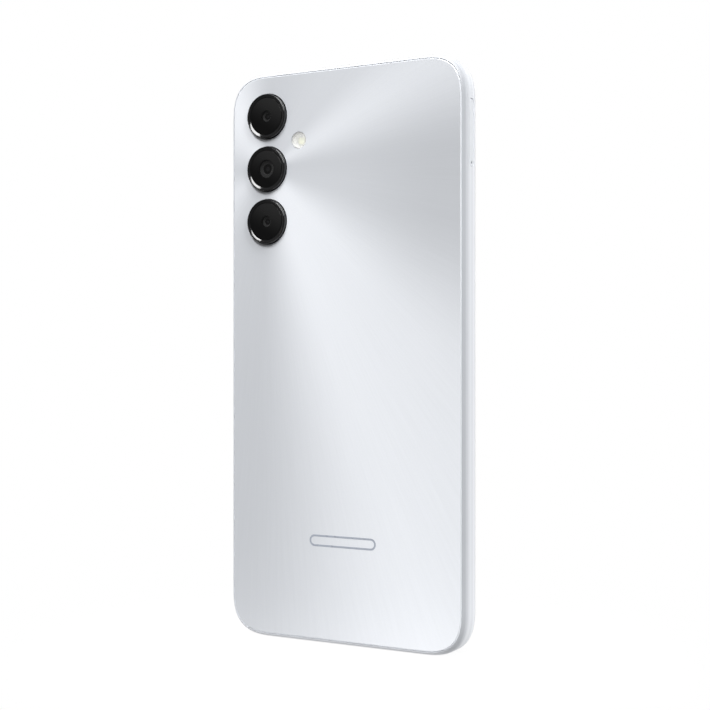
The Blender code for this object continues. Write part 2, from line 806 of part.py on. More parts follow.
def make_flexes():
    connector_y = (BOARD_HEAD_Y, BOARD_HEAD_Y + 0.7)
    battery_xs = (-20.0, -12.0)
    flex = make_piece(
        "battery_flex",
        "flex_orange",
        lambda bm: add_box(bm, battery_xs, connector_y, (114.8, 117.4)),
    )
    tab_y = (BOARD_HEAD_Y + 0.2, BOARD_HEAD_Y + 0.4)
    fuse(flex, lambda bm: add_box(bm, (-18.0, -14.0), tab_y, (BATTERY_Z[1] + 0.3, 115.5)), "tab")

    over_battery = BATTERY_Y[1] + 0.27
    sub_top = SUB_BOARD_Y[1] + 0.6
    main_xs = (-7.0, 0.6)
    path = (
        (116.0, 2.0),
        (114.4, 2.05),
        (112.8, over_battery),
        (37.8, over_battery),
        (36.6, 1.2),
        (35.4, sub_top),
        (25.5, sub_top),
    )
    flex = make_piece("main_flex", "flex_orange", lambda bm: add_ribbon(bm, path, 0.15, main_xs))

    def connectors(bm):
        xs = (main_xs[0] - 0.8, main_xs[1] + 0.8)
        add_box(bm, xs, (connector_y[0], connector_y[1]), (114.9, 117.4))
        add_box(bm, xs, (SUB_BOARD_Y[1] + FIT_GAP, SUB_BOARD_Y[1] + 0.9), (24.0, 27.0))

    fuse(flex, connectors, "connectors")

    path = ((6.3, -3.45), (4.4, -3.45), (4.1, -3.2), (4.1, -2.1), (4.4, -1.85), (12.0, -1.85))
    make_piece("display_flex", "flex_orange", lambda bm: add_ribbon(bm, path, 0.15, (-16.2, -12.8)))


def make_key_flex():
    """The keys' flex: a strip up the side with three dome switches, and a tail to the main board."""

    def strip(bm):
        add_box(bm, KEY_FLEX_X, (-2.2, 1.2), (92.0, 143.0))

    def tail(bm):
        add_box(bm, (15.5, KEY_FLEX_X[1] - 0.02), (-0.7, -0.5), (112.7, 115.7))

    def domes(bm):
        for z in (POWER_Z, VOLUME_Z - VOLUME_PLUNGER, VOLUME_Z + VOLUME_PLUNGER):
            profile = (
                (1.6, KEY_FLEX_X[1] - 0.1),
                (1.6, KEY_FLEX_X[1] + 0.1),
                (0.9, KEY_FLEX_X[1] + DOME_H),
            )
            add_turned(bm, (MID_Y, z), profile, axis="X", segments=12)

    flex = make_piece("key_flex", "flex_orange", strip)
    fuse(flex, tail, "tail")
    fuse(flex, domes, "domes")


def make_antenna_coax():
    """The coaxial cable that links the two boards, clipped along the -X side of the battery."""
    route = (
        (-23.5, 0.2, 34.2),
        (-26.5, 0.2, 34.4),
        (-30.0, 0.0, 35.2),
        (-33.4, -0.6, 37.6),
        (-35.2, -1.1, 41.5),
        (-35.6, -1.2, 46.0),
        (-35.6, -1.2, 75.0),
        (-35.6, -1.2, 101.0),
        (-35.5, -0.9, 105.0),
        (-35.2, 0.2, 108.6),
        (-34.7, 1.5, 111.6),
        (-34.1, 2.0, 114.2),
        (-33.8, 2.05, 117.5),
    )
    curve = bpy.data.curves.new("antenna_coax", "CURVE")
    curve.dimensions = "3D"
    curve.bevel_depth = 0.4 * MM
    curve.bevel_resolution = 1
    curve.use_fill_caps = True
    spline = curve.splines.new("POLY")
    spline.points.add(len(route) - 1)
    for point, place in zip(spline.points, route):
        point.co = (*[value * MM for value in place], 1.0)
    cable = bpy.data.objects.new("antenna_coax", curve)
    curve.materials.append(bpy.data.materials["black_plastic"])
    bpy.context.scene.collection.objects.link(cable)


# Sockets, sound and vibration


def make_usb_port():
    half_w = USB_W / 2
    half_h = USB_H / 2
    wall = 0.3
    outer = rounded_box((-half_w, MID_Y - half_h), (half_w, MID_Y + half_h), half_h * 0.98, 5)
    inner = rounded_box(
        (-half_w + wall, MID_Y - half_h + wall),
        (half_w - wall, MID_Y + half_h - wall),
        (half_h - wall) * 0.98,
        5,
    )
    shell = make_piece("usb_port_shell", "steel", lambda bm: add_prism(bm, outer, "Z", (0.3, 8.3)))
    cut(shell, lambda bm: add_prism(bm, inner, "Z", (-1, 10)))

    def tongue(bm):
        low, high = (-4.0, MID_Y - 1.15), (4.0, MID_Y + 1.15)
        add_prism(bm, rounded_box(low, high, 1.1), "Z", (6.0, 8.1))

    def blade(bm):
        add_box(bm, (-3.2, 3.2), (MID_Y - 0.35, MID_Y + 0.35), (1.3, 7.0))

    block = make_piece("usb_port_tongue", "black_plastic", tongue)
    fuse(block, blade, "blade")


def make_headphone_jack():
    xs = (JACK_X - 2.8, JACK_X + 2.8)
    ys = (MID_Y - 2.3, MID_Y + 2.3)
    jack = make_piece("headphone_jack", "black_plastic", lambda bm: add_box(bm, xs, ys, (2.4, 14.6)))
    fuse(jack, lambda bm: add_prism(bm, circle((JACK_X, MID_Y), 2.45, 24), "Z", (0.1, 3.4)), "snout")
    cut(jack, lambda bm: add_prism(bm, circle((JACK_X, MID_Y), JACK_BORE_R, 16), "Z", (-1, 13.4)))


def inset_box(low, high, radius, inset):
    return rounded_box(
        (low[0] + inset, low[1] + inset), (high[0] - inset, high[1] - inset), max(radius - inset, 0.4)
    )


def make_loudspeaker():
    ear_x, ear_z, _, _ = SCREWS["screw_speaker_box"]
    corners = [(10.2, 4.4, 1.0), (35.9, 4.4, 10.0), (35.9, 31.5, 1.0), (10.2, 31.5, 1.0)]
    box_y = (BATTERY_Y[0], 2.7)
    floor_y = -0.9
    box = make_piece(
        "speaker_box", "black_plastic", lambda bm: add_prism(bm, rounded_polygon(corners), "Y", box_y)
    )
    fuse(
        box,
        lambda bm: add_box(bm, (ear_x - 2.4, ear_x + 2.4), (0.4, MAIN_BOARD_Y[1]), (30.5, ear_z + 2.2)),
        "ear",
    )
    cut(
        box,
        lambda bm: add_prism(bm, rounded_box((13.5, 13.0), (32.0, 29.0), 2.0), "Y", (floor_y, 4)),
        "pocket",
    )
    cut(box, lambda bm: add_box(bm, (11.6, 25.4), (floor_y + 0.05, 0.4), (3, 14)), "duct")
    cut(
        box,
        lambda bm: add_prism(bm, circle((ear_x, ear_z), SCREW_HOLE_R, 12), "Y", (-1, 2)),
        "screw_hole",
    )

    low, high = (14.3, 13.8), (31.2, 28.2)
    section = ((2.6, 0.5), (0.0, 1.0), (0.0, 1.25), (1.6, 0.95), (2.6, 1.45))

    def cone(bm):
        skin(bm, [on_axis(inset_box(low, high, 3.0, inset), "Y", y) for inset, y in section])

    middle = ((low[0] + high[0]) / 2, 1.0, (low[1] + high[1]) / 2)
    slide = make_joint_empty("speaker_axis", middle)
    make_piece("speaker_diaphragm", "paper_cone", cone, middle, slide)


def make_earpiece():
    housing = make_piece(
        "earpiece_housing",
        "black_plastic",
        lambda bm: add_box(bm, (4.5, 15.5), (BATTERY_Y[0], 0.2), (158.4, 163.6)),
    )
    pocket = rounded_box((5.4, 159.1), (14.6, 162.9), 0.8, 2)
    cut(housing, lambda bm: add_prism(bm, pocket, "Y", (-4, -0.8)), "pocket")
    low, high = (5.8, 159.5), (14.2, 162.5)
    section = ((0.0, -1.4), (0.0, -1.6), (0.6, -1.7))

    def membrane(bm):
        skin(bm, [on_axis(inset_box(low, high, 0.9, inset), "Y", y) for inset, y in section])

    middle = (10.0, -1.5, 161.0)
    slide = make_joint_empty("earpiece_axis", middle)
    make_piece("earpiece_diaphragm", "paper_cone", membrane, middle, slide)


def make_vibration_motor():
    case_y = MOTOR_Y

    def cup(bm):
        add_prism(bm, circle(MOTOR, MOTOR_R, 20), "Y", case_y)

    def hollow(bm):
        shaft_r = 0.5
        profile = (
            (MOTOR_R - 0.4, case_y[0] + 0.3),
            (MOTOR_R - 0.4, case_y[1] + 1),
            (shaft_r, case_y[1] + 1),
            (shaft_r, case_y[0] + 0.3),
        )
        add_turned(bm, MOTOR, profile, segments=20, closed=True)

    def shaft_end(bm):
        add_prism(bm, circle(MOTOR, 0.8, 12), "Y", (case_y[1] - 0.3, case_y[1] + 2))

    case = make_piece("vibration_motor_case", "steel", cup, (MOTOR[0], case_y[0], MOTOR[1]))
    cut(case, hollow)
    cut(case, shaft_end, "shaft_end")
    make_piece(
        "vibration_motor_cover",
        "steel",
        lambda bm: add_prism(bm, circle(MOTOR, MOTOR_R, 20), "Y", (case_y[1] + 0.1, case_y[1] + 0.35)),
    )

    rotor_y = (case_y[0] + 0.7, case_y[1] - 0.6)

    def weight(bm):
        """A half disc with a round hub: the heavy side hangs down at rest."""
        hub_r, rim_r, steps = 1.5, 4.2, 14
        arc = []
        for step in range(steps + 1):
            turn = math.radians(190 + 160 * step / steps)
            arc.append((MOTOR[0] + rim_r * math.cos(turn), MOTOR[1] + rim_r * math.sin(turn)))
        for step in range(7):
            turn = math.radians(20 + 140 * step / 6)
            arc.append((MOTOR[0] + hub_r * math.cos(turn), MOTOR[1] + hub_r * math.sin(turn)))
        add_prism(bm, arc, "Y", rotor_y)

    def rotor_bore(bm):
        add_prism(bm, circle(MOTOR, 0.7, 12), "Y", (rotor_y[0] - 1, rotor_y[1] + 1))

    axis = make_joint_empty("vibration_axis", (MOTOR[0], 0.0, MOTOR[1]))
    rotor = make_piece("vibration_rotor", "brass", weight, (MOTOR[0], 0.0, MOTOR[1]), axis)
    cut(rotor, rotor_bore)


# SIM tray and its reader


def make_sim_tray():
    slide = make_joint_empty("sim_tray_axis", (-SIDE_X, TRAY_Y, sum(TRAY_Z) / 2))
    origin = (-SIDE_X, TRAY_Y, sum(TRAY_Z) / 2)
    half_h = TRAY_H / 2
    low, high = (TRAY_Y - half_h, TRAY_Z[0]), (TRAY_Y + half_h, TRAY_Z[1])

    def face(bm):
        add_prism(bm, rounded_box(low, high, half_h * 0.98), "X", TRAY_FACE_X)

    def carrier(bm):
        add_box(bm, (TRAY_FACE_X[1] - 0.5, CARRIER_END_X), CARRIER_Y, CARRIER_Z)

    def pockets(bm):
        """Two SIM pockets and a memory card pocket, each with a smaller window through its floor."""
        middle = sum(CARRIER_Z) / 2
        for xs, width in zip(POCKET_X, POCKET_W):
            zs = (middle - width / 2, middle + width / 2)
            add_box(bm, xs, (CARRIER_Y[1] - POCKET_DEPTH, CARRIER_Y[1] + 1), zs)

    def windows(bm):
        middle = sum(CARRIER_Z) / 2
        zs = (middle - WINDOW_W / 2, middle + WINDOW_W / 2)
        for x0, x1 in POCKET_X:
            xs = (x0 + WINDOW_MARGIN, x1 - WINDOW_MARGIN)
            add_box(bm, xs, (CARRIER_Y[0] - 1, CARRIER_Y[1]), zs)

    def eject_hole(bm):
        span = (-SIDE_X - 1, TRAY_FACE_X[1] + 1)
        add_prism(bm, circle((TRAY_Y, EJECT_Z), EJECT_HOLE_R, 12), "X", span)

    tray = make_piece("sim_tray", "silver_frame", face, origin, slide)
    fuse(tray, carrier, "carrier")
    cut(tray, pockets, "pockets")
    cut(tray, windows, "windows")
    cut(tray, eject_hole, "eject_hole")

    ring_x = (-37.4, -36.8)
    seal_h, seal_l = CARRIER_Y[1] - TRAY_Y + 0.4, (CARRIER_Z[1] - CARRIER_Z[0]) / 2 + 0.5
    middle = sum(CARRIER_Z) / 2
    outer = rounded_box((TRAY_Y - seal_h, middle - seal_l), (TRAY_Y + seal_h, middle + seal_l), 0.4, 2)
    seal = make_piece(
        "sim_tray_seal", "rubber", lambda bm: add_prism(bm, outer, "X", ring_x), origin, slide
    )
    ys = (CARRIER_Y[0] - FILM_GAP, CARRIER_Y[1] + FILM_GAP)
    zs = (CARRIER_Z[0] - FILM_GAP, CARRIER_Z[1] + FILM_GAP)
    cut(seal, lambda bm: add_box(bm, (-40, -35), ys, zs))


def make_sim_reader():
    """The reader's plate under the tray, its two guide walls, and the post that the eject lever turns on."""
    reader = make_piece(
        "sim_reader", "steel", lambda bm: add_box(bm, (-35.4, 7.4), READER_Y, (136.2, 156.4))
    )

    def walls(bm):
        for z in (CARRIER_Z[0] - 1.2, CARRIER_Z[1] + 0.9):
            add_box(bm, (-35.3, 0.6), (READER_Y[0] + 0.1, 0.4), (z, z + 0.3))
        add_prism(bm, circle(LEVER_PIVOT, 0.6, 12), "Y", (READER_Y[0] + 0.1, 0.1))

    fuse(reader, walls, "walls")


def make_eject_parts():
    def rod(bm):
        add_box(bm, (-36.6, 2.2), LEVER_Y, (EJECT_Z - 0.4, EJECT_Z + 0.4))

    slide = make_joint_empty("eject_rod_axis", (-36.6, TRAY_Y, EJECT_Z))
    make_piece("eject_rod", "steel", rod, (-36.6, TRAY_Y, EJECT_Z), slide)

    pivot_x, pivot_z = LEVER_PIVOT
    outline = [
        (pivot_x - 1.9, pivot_z - LEVER_ARM),
        (pivot_x - 0.3, pivot_z - LEVER_ARM),
        (pivot_x + 0.1, pivot_z - 2.0),
        (pivot_x + 1.6, pivot_z - 1.0),
        (pivot_x + 1.6, pivot_z + 1.0),
        (pivot_x + 0.1, pivot_z + 2.0),
        (pivot_x - 0.3, pivot_z + LEVER_ARM - 0.8),
        (pivot_x - 1.9, pivot_z + LEVER_ARM - 0.8),
    ]
    axis = make_joint_empty("eject_lever_axis", (pivot_x, TRAY_Y, pivot_z))
    lever = make_piece(
        "eject_lever",
        "steel",
        lambda bm: add_prism(bm, outline, "Y", LEVER_Y),
        (pivot_x, TRAY_Y, pivot_z),
        axis,
    )
    cut(lever, lambda bm: add_prism(bm, circle(LEVER_PIVOT, 0.75, 12), "Y", (-3, 2)))


# Keys


def key_shapes(z, length, top_x, plungers):
    """The drawing functions of a key: its flange, its cap and its plungers."""
    half_h = KEY_H / 2

    def flange(bm):
        add_box(bm, KEY_FLANGE_X, (MID_Y - 1.5, MID_Y + 1.5), (z - length / 2 - 1, z + length / 2 + 1))

    def cap(bm):
        low, high = (MID_Y - half_h, z - length / 2), (MID_Y + half_h, z + length / 2)
        soft = 0.25
        loops = [
            on_axis(inset_box(low, high, half_h * 0.98, inset), "X", x)
            for inset, x in ((0.0, 36.2), (0.0, top_x - soft), (0.08, top_x - 0.08), (soft, top_x))
        ]
        skin(bm, loops)

    def pins(bm):
        for offset in plungers:
            add_prism(bm, circle((MID_Y, z + offset), 0.6, 10), "X", (35.2, 36.1))

    return flange, cap, pins


def make_keys():
    for name, z, length, top_x, plungers in (
        ("power_key", POWER_Z, POWER_L, POWER_TOP_X, (0.0,)),
        ("volume_key", VOLUME_Z, VOLUME_L, VOLUME_TOP_X, (-VOLUME_PLUNGER, VOLUME_PLUNGER)),
    ):
        flange, cap, pins = key_shapes(z, length, top_x, plungers)
        origin = (37.0, MID_Y, z)
        axis = make_joint_empty(f"{name}_axis", origin)
        key = make_piece(name, "silver_frame", flange, origin, axis)
        fuse(key, cap, "cap")
        fuse(key, pins, "plungers")
        if name == "power_key":
            low, high = (MID_Y - 0.7, z - 5.4), (MID_Y + 0.7, z + 5.4)
            pocket_x = (top_x - 0.5, top_x + 1)
            cut(key, lambda bm: add_prism(bm, rounded_box(low, high, 0.68), "X", pocket_x), "pocket")
            tile = inset_box(low, high, 0.68, FILM_GAP)
            tile_x = (top_x - 0.4, top_x - 0.02)
            make_piece(
                "fingerprint_sensor",
                "dark_glass",
                lambda bm: add_prism(bm, tile, "X", tile_x),
                origin,
                axis,
            )


def main():
    for old in list(bpy.data.objects):
        bpy.data.objects.remove(old, do_unlink=True)
    for name in MATERIALS:
        make_material(name)
    make_side_frame()
    make_rear_panel()
    make_adhesives()
    make_display()
    make_mid_chassis()
    make_screws()
    make_cameras()
    make_main_camera()
    make_small_cameras()
    make_front_camera()
    make_flash()
    make_main_board()
    make_board_parts()
    make_antenna_bracket()
    make_sub_board()
    make_battery()
    make_flexes()
    make_key_flex()
    make_antenna_coax()
    make_usb_port()
    make_headphone_jack()
    make_loudspeaker()
    make_earpiece()
    make_vibration_motor()
    make_sim_tray()
    make_sim_reader()
    make_eject_parts()
    make_keys()
    even_out_shading()


main()
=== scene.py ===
"""Looks of the smartphone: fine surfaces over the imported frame, their materials, the studio and the camera.

The phone stands upright: +Z runs up its length, the display faces -Y, the rear panel faces +Y. Shapes are
drawn in millimetres in the row frame, and mesh_from turns them into metres.
"""

import json
import math

import bmesh
import bpy
from mathutils import Matrix, Vector


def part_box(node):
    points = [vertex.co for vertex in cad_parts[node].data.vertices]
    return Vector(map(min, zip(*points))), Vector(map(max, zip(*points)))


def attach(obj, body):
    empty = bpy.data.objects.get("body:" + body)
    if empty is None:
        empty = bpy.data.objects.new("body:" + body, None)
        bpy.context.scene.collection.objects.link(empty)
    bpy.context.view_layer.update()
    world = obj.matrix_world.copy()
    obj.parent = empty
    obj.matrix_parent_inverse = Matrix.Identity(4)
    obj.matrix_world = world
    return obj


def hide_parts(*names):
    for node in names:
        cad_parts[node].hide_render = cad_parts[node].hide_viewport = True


MM = 0.001

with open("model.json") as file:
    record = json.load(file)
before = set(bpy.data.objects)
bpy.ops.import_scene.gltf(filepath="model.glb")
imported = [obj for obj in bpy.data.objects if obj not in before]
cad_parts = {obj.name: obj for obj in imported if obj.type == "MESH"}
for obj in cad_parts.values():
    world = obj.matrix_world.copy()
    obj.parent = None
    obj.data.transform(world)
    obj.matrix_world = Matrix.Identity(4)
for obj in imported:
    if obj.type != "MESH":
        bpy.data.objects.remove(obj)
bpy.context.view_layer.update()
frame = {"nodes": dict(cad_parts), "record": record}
SLOT_OF = {part["node"]: part["material_slot"] for part in frame["record"]["subparts"]}


def box_mm(node):
    low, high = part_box(node)
    return low / MM, high / MM


def middle_of(node):
    low, high = box_mm(node)
    return (low + high) / 2


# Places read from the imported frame
BAND_LOW, BAND_HIGH = box_mm("side_frame")
PANEL_LOW, PANEL_HIGH = box_mm("rear_panel")
GLASS_LOW, GLASS_HIGH = box_mm("display_glass")
BODY_W = BAND_HIGH.x - BAND_LOW.x
BODY_H = BAND_HIGH.z - BAND_LOW.z
SIDE_X = BODY_W / 2
COVER_INSET = BAND_HIGH.x - PANEL_HIGH.x - 0.08
BACK_Y = PANEL_HIGH.y
FRONT_Y = GLASS_LOW.y
CAMERAS = ("top", "middle", "bottom")
RING_LOW, RING_HIGH = box_mm("camera_ring_middle")
RING_TOP_Y = RING_HIGH.y
FLANGE_R = (RING_HIGH.x - RING_LOW.x) / 2
COVER_LOW, COVER_HIGH = box_mm("camera_glass_middle")
COVER_R = (COVER_HIGH.x - COVER_LOW.x) / 2
MID_Y = middle_of("usb_port_shell").y

# The outline's corners and the fineness of the curves
CORNER_R = 14.15
CORNER_POWER = 2.94
CORNER_STEPS = 44
ROUND_STEPS = 96

# Camera rings and what shows through their cover glasses
RING_R = 6.65
OUTER_BEVEL = 0.24
INNER_BEVEL = 0.64
INNER_SLOPE = 0.56
SEAT_R = 5.6
BORE_R = 4.9
HOLDER_Y = 3.85
LENS_SIZES = {"top": (0.95, 1.62), "middle": (1.5, 2.6), "bottom": (0.95, 1.62)}
COLLAR_R = 3.1

FLASH_R = 2.35
PILL_W = 22.0
PILL_H = 3.4
PILL_LINE = 0.55
PILL_Z = 29.9

# Frame, keys and tray
FRAME_WALL = 2.0
FIT_GAP = 0.15
EDGE_BREAK = 0.12
KEY_H = 2.0
KEY_GAP = 0.2
POWER_L = 15.0
VOLUME_L = 24.0
FLANGE_X = (35.9, 36.0, 36.45)
TRAY_FACE_X = -37.5
TRAY_POCKETS = ((-35.9, -27.0, 12.4), (-26.2, -17.3, 12.4), (-16.2, -1.1, 11.1))
TRAY_WINDOWS = ((-35.1, -27.8), (-25.4, -18.1), (-15.4, -1.9))
EJECT_HOLE_R = 0.45

# Openings of the bottom edge
JACK_X = middle_of("headphone_jack").x
JACK_HOLE_R = 2.6
MIC_X = middle_of("bottom_microphone").x
MIC_HOLE_R = 0.5
SPEAKER_HOLES = 6
SPEAKER_HOLE_R = 0.65
SPEAKER_X = 12.5
SPEAKER_PITCH = 2.2

# Front camera
SELFIE_RING_R = 1.75
SELFIE_LENS_R = 1.45

# Studio
ROOM_FAR = 0.35
ROOM_NEAR = 0.2
FLOOR_R = 110.0


# Outlines


def body_outline(inset, steps=CORNER_STEPS):
    """(x, z) points of the phone's outline moved inwards, counter-clockwise as seen from the front."""
    half_w = BODY_W / 2 - inset
    half_h = BODY_H / 2 - inset
    radius = CORNER_R - inset
    quarter = []
    for step in range(steps + 1):
        turn = math.radians(90.0 * step / steps)
        across = max(math.cos(turn), 0.0) ** (2 / CORNER_POWER)
        up = max(math.sin(turn), 0.0) ** (2 / CORNER_POWER)
        quarter.append((half_w - radius * (1 - across), half_h - radius * (1 - up)))
    left_top = [(-x, z) for x, z in reversed(quarter)]
    left_bottom = [(-x, -z) for x, z in quarter]
    right_bottom = [(x, -z) for x, z in reversed(quarter)]
    points = quarter + left_top + left_bottom + right_bottom
    return [(x, z + BODY_H / 2) for x, z in points]


def rounded_box(low, high, radius, steps=12):
    """Points of a rectangle from low to high, (u, v) each, with every corner rounded."""
    centres = (
        (high[0] - radius, high[1] - radius, 0),
        (low[0] + radius, high[1] - radius, 90),
        (low[0] + radius, low[1] + radius, 180),
        (high[0] - radius, low[1] + radius, 270),
    )
    points = []
    for u, v, start in centres:
        for step in range(steps + 1):
            turn = math.radians(start + 90 * step / steps)
            points.append((u + radius * math.cos(turn), v + radius * math.sin(turn)))
    return points


def slot_outline(u, v, half_u, half_v, grow=0.0, steps=12):
    """A slot with fully rounded ends around a middle point, grown by a margin."""
    half_u, half_v = half_u + grow, half_v + grow
    return rounded_box((u - half_u, v - half_v), (u + half_u, v + half_v), min(half_u, half_v) * 0.98, steps)


def circle(centre, radius, segments):
    turns = [2 * math.pi * step / segments for step in range(segments)]
    return [
        (centre[0] + radius * math.cos(turn), centre[1] + radius * math.sin(turn))
        for turn in turns
    ]


def on_axis(points, axis, height):
    """The 3-D points of an outline drawn across an axis, at a height along it."""
    if axis == "X":
        return [(height, u, v) for u, v in points]
    if axis == "Y":
        return [(u, height, v) for u, v in points]
    return [(u, v, height) for u, v in points]


def quarter_round(start, end, steps=6):
    """(a, b) points of a quarter ellipse that leaves start along a and arrives at end along b."""
    points = []
    for step in range(steps + 1):
        turn = math.radians(90 * step / steps)
        a = start[0] + (end[0] - start[0]) * math.sin(turn)
        b = start[1] + (end[1] - start[1]) * (1 - math.cos(turn))
        points.append((a, b))
    return points


# Surfaces, added to a bmesh


def skin(bm, loops, closed=False, material=0):
    """Joins loops of equally many points, with both ends capped or joined to each other."""
    rows = [[bm.verts.new(point) for point in loop] for loop in loops]
    pairs = list(zip(rows, rows[1:]))
    if closed:
        pairs.append((rows[-1], rows[0]))
    made = []
    for lower, upper in pairs:
        count = len(lower)
        for i in range(count):
            j = (i + 1) % count
            made.append(bm.faces.new((lower[i], lower[j], upper[j], upper[i])))
    if not closed:
        made.append(bm.faces.new(list(reversed(rows[0]))))
        made.append(bm.faces.new(rows[-1]))
    for face in made:
        face.material_index = material
    return made


def add_prism(bm, points, axis, span, material=0):
    return skin(bm, [on_axis(points, axis, height) for height in span], material=material)


def add_turned(bm, centre, profile, axis="Y", closed=False, segments=ROUND_STEPS, material=0):
    """A turned shape: profile is (radius, height) along the axis. A radius of 0 closes the end to a point."""
    rows = []
    for radius, height in profile:
        if radius == 0:
            rows.append([bm.verts.new(on_axis([centre], axis, height)[0])])
        else:
            rows.append([bm.verts.new(p) for p in on_axis(circle(centre, radius, segments), axis, height)])
    pairs = list(zip(rows, rows[1:]))
    if closed:
        pairs.append((rows[-1], rows[0]))
    faces = []
    for lower, upper in pairs:
        for i in range(segments):
            j = (i + 1) % segments
            corners = [row[k % len(row)] for row, k in ((lower, i), (lower, j), (upper, j), (upper, i))]
            faces.append(bm.faces.new(list(dict.fromkeys(corners))))
    if not closed:
        for row in (rows[0], rows[-1]):
            if len(row) > 1:
                faces.append(bm.faces.new(row))
    for face in faces:
        face.material_index = material
    return faces


def add_sheet(bm, section, closed=False):
    """A plate or a ring that follows the phone's outline; section is (inset, y)."""
    return skin(bm, [on_axis(body_outline(inset), "Y", y) for inset, y in section], closed)


def add_box(bm, xs, ys, zs, edge=0.0, material=0):
    """A box with its edges rounded off along Y."""
    low, high = (xs[0], zs[0]), (xs[1], zs[1])
    corners = [(xs[0], zs[0]), (xs[1], zs[0]), (xs[1], zs[1]), (xs[0], zs[1])]
    outline = rounded_box(low, high, edge, 4) if edge else corners
    return add_prism(bm, outline, "Y", ys, material)


# Objects


def mesh_from(draw, name):
    bm = bmesh.new()
    draw(bm)
    bmesh.ops.recalc_face_normals(bm, faces=bm.faces)
    bmesh.ops.scale(bm, vec=(MM, MM, MM), verts=bm.verts)
    mesh = bpy.data.meshes.new(name)
    bm.to_mesh(mesh)
    bm.free()
    return mesh


def link(name, mesh):
    piece = bpy.data.objects.new(name, mesh)
    bpy.context.scene.collection.objects.link(piece)
    return piece


def cut_away(piece, draw):
    """Takes the shape that draw makes out of the piece, for good."""
    cutter = link("cutter", mesh_from(draw, "cutter"))
    modifier = piece.modifiers.new("cut", "BOOLEAN")
    modifier.operation = "DIFFERENCE"
    modifier.object = cutter
    graph = bpy.context.evaluated_depsgraph_get()
    mesh = bpy.data.meshes.new_from_object(piece.evaluated_get(graph))
    piece.modifiers.clear()
    piece.data = mesh
    bpy.data.objects.remove(cutter)


def add_piece(name, draw, looks, body, stands_for=(), cuts=(), crease=35):
    """One visible piece. looks are its materials, in the order of the faces' material indices."""
    piece = link(name, mesh_from(draw, name))
    for look in looks:
        piece.data.materials.append(look)
    for cut in cuts:
        cut_away(piece, cut)
    piece.data.shade_smooth()
    piece.data.set_sharp_from_angle(angle=math.radians(crease))
    weighted = piece.modifiers.new("normals", "WEIGHTED_NORMAL")
    weighted.keep_sharp = True
    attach(piece, body)
    if stands_for:
        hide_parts(*stands_for)
    return piece


# Materials


def linear(value):
    """A screen value from 0 to 255 as linear light."""
    share = value / 255
    return share / 12.92 if share <= 0.04045 else ((share + 0.055) / 1.055) ** 2.4


def grey(value, warm=0.0, cool=0.0):
    return (linear(value + warm), linear(value), linear(value + cool))


SOCKETS = {
    "coat": "Coat Weight",
    "coat_roughness": "Coat Roughness",
    "anisotropy": "Anisotropic",
    "alpha": "Alpha",
    "ior": "IOR",
    "specular": "Specular IOR Level",
    "glow": "Emission Strength",
}


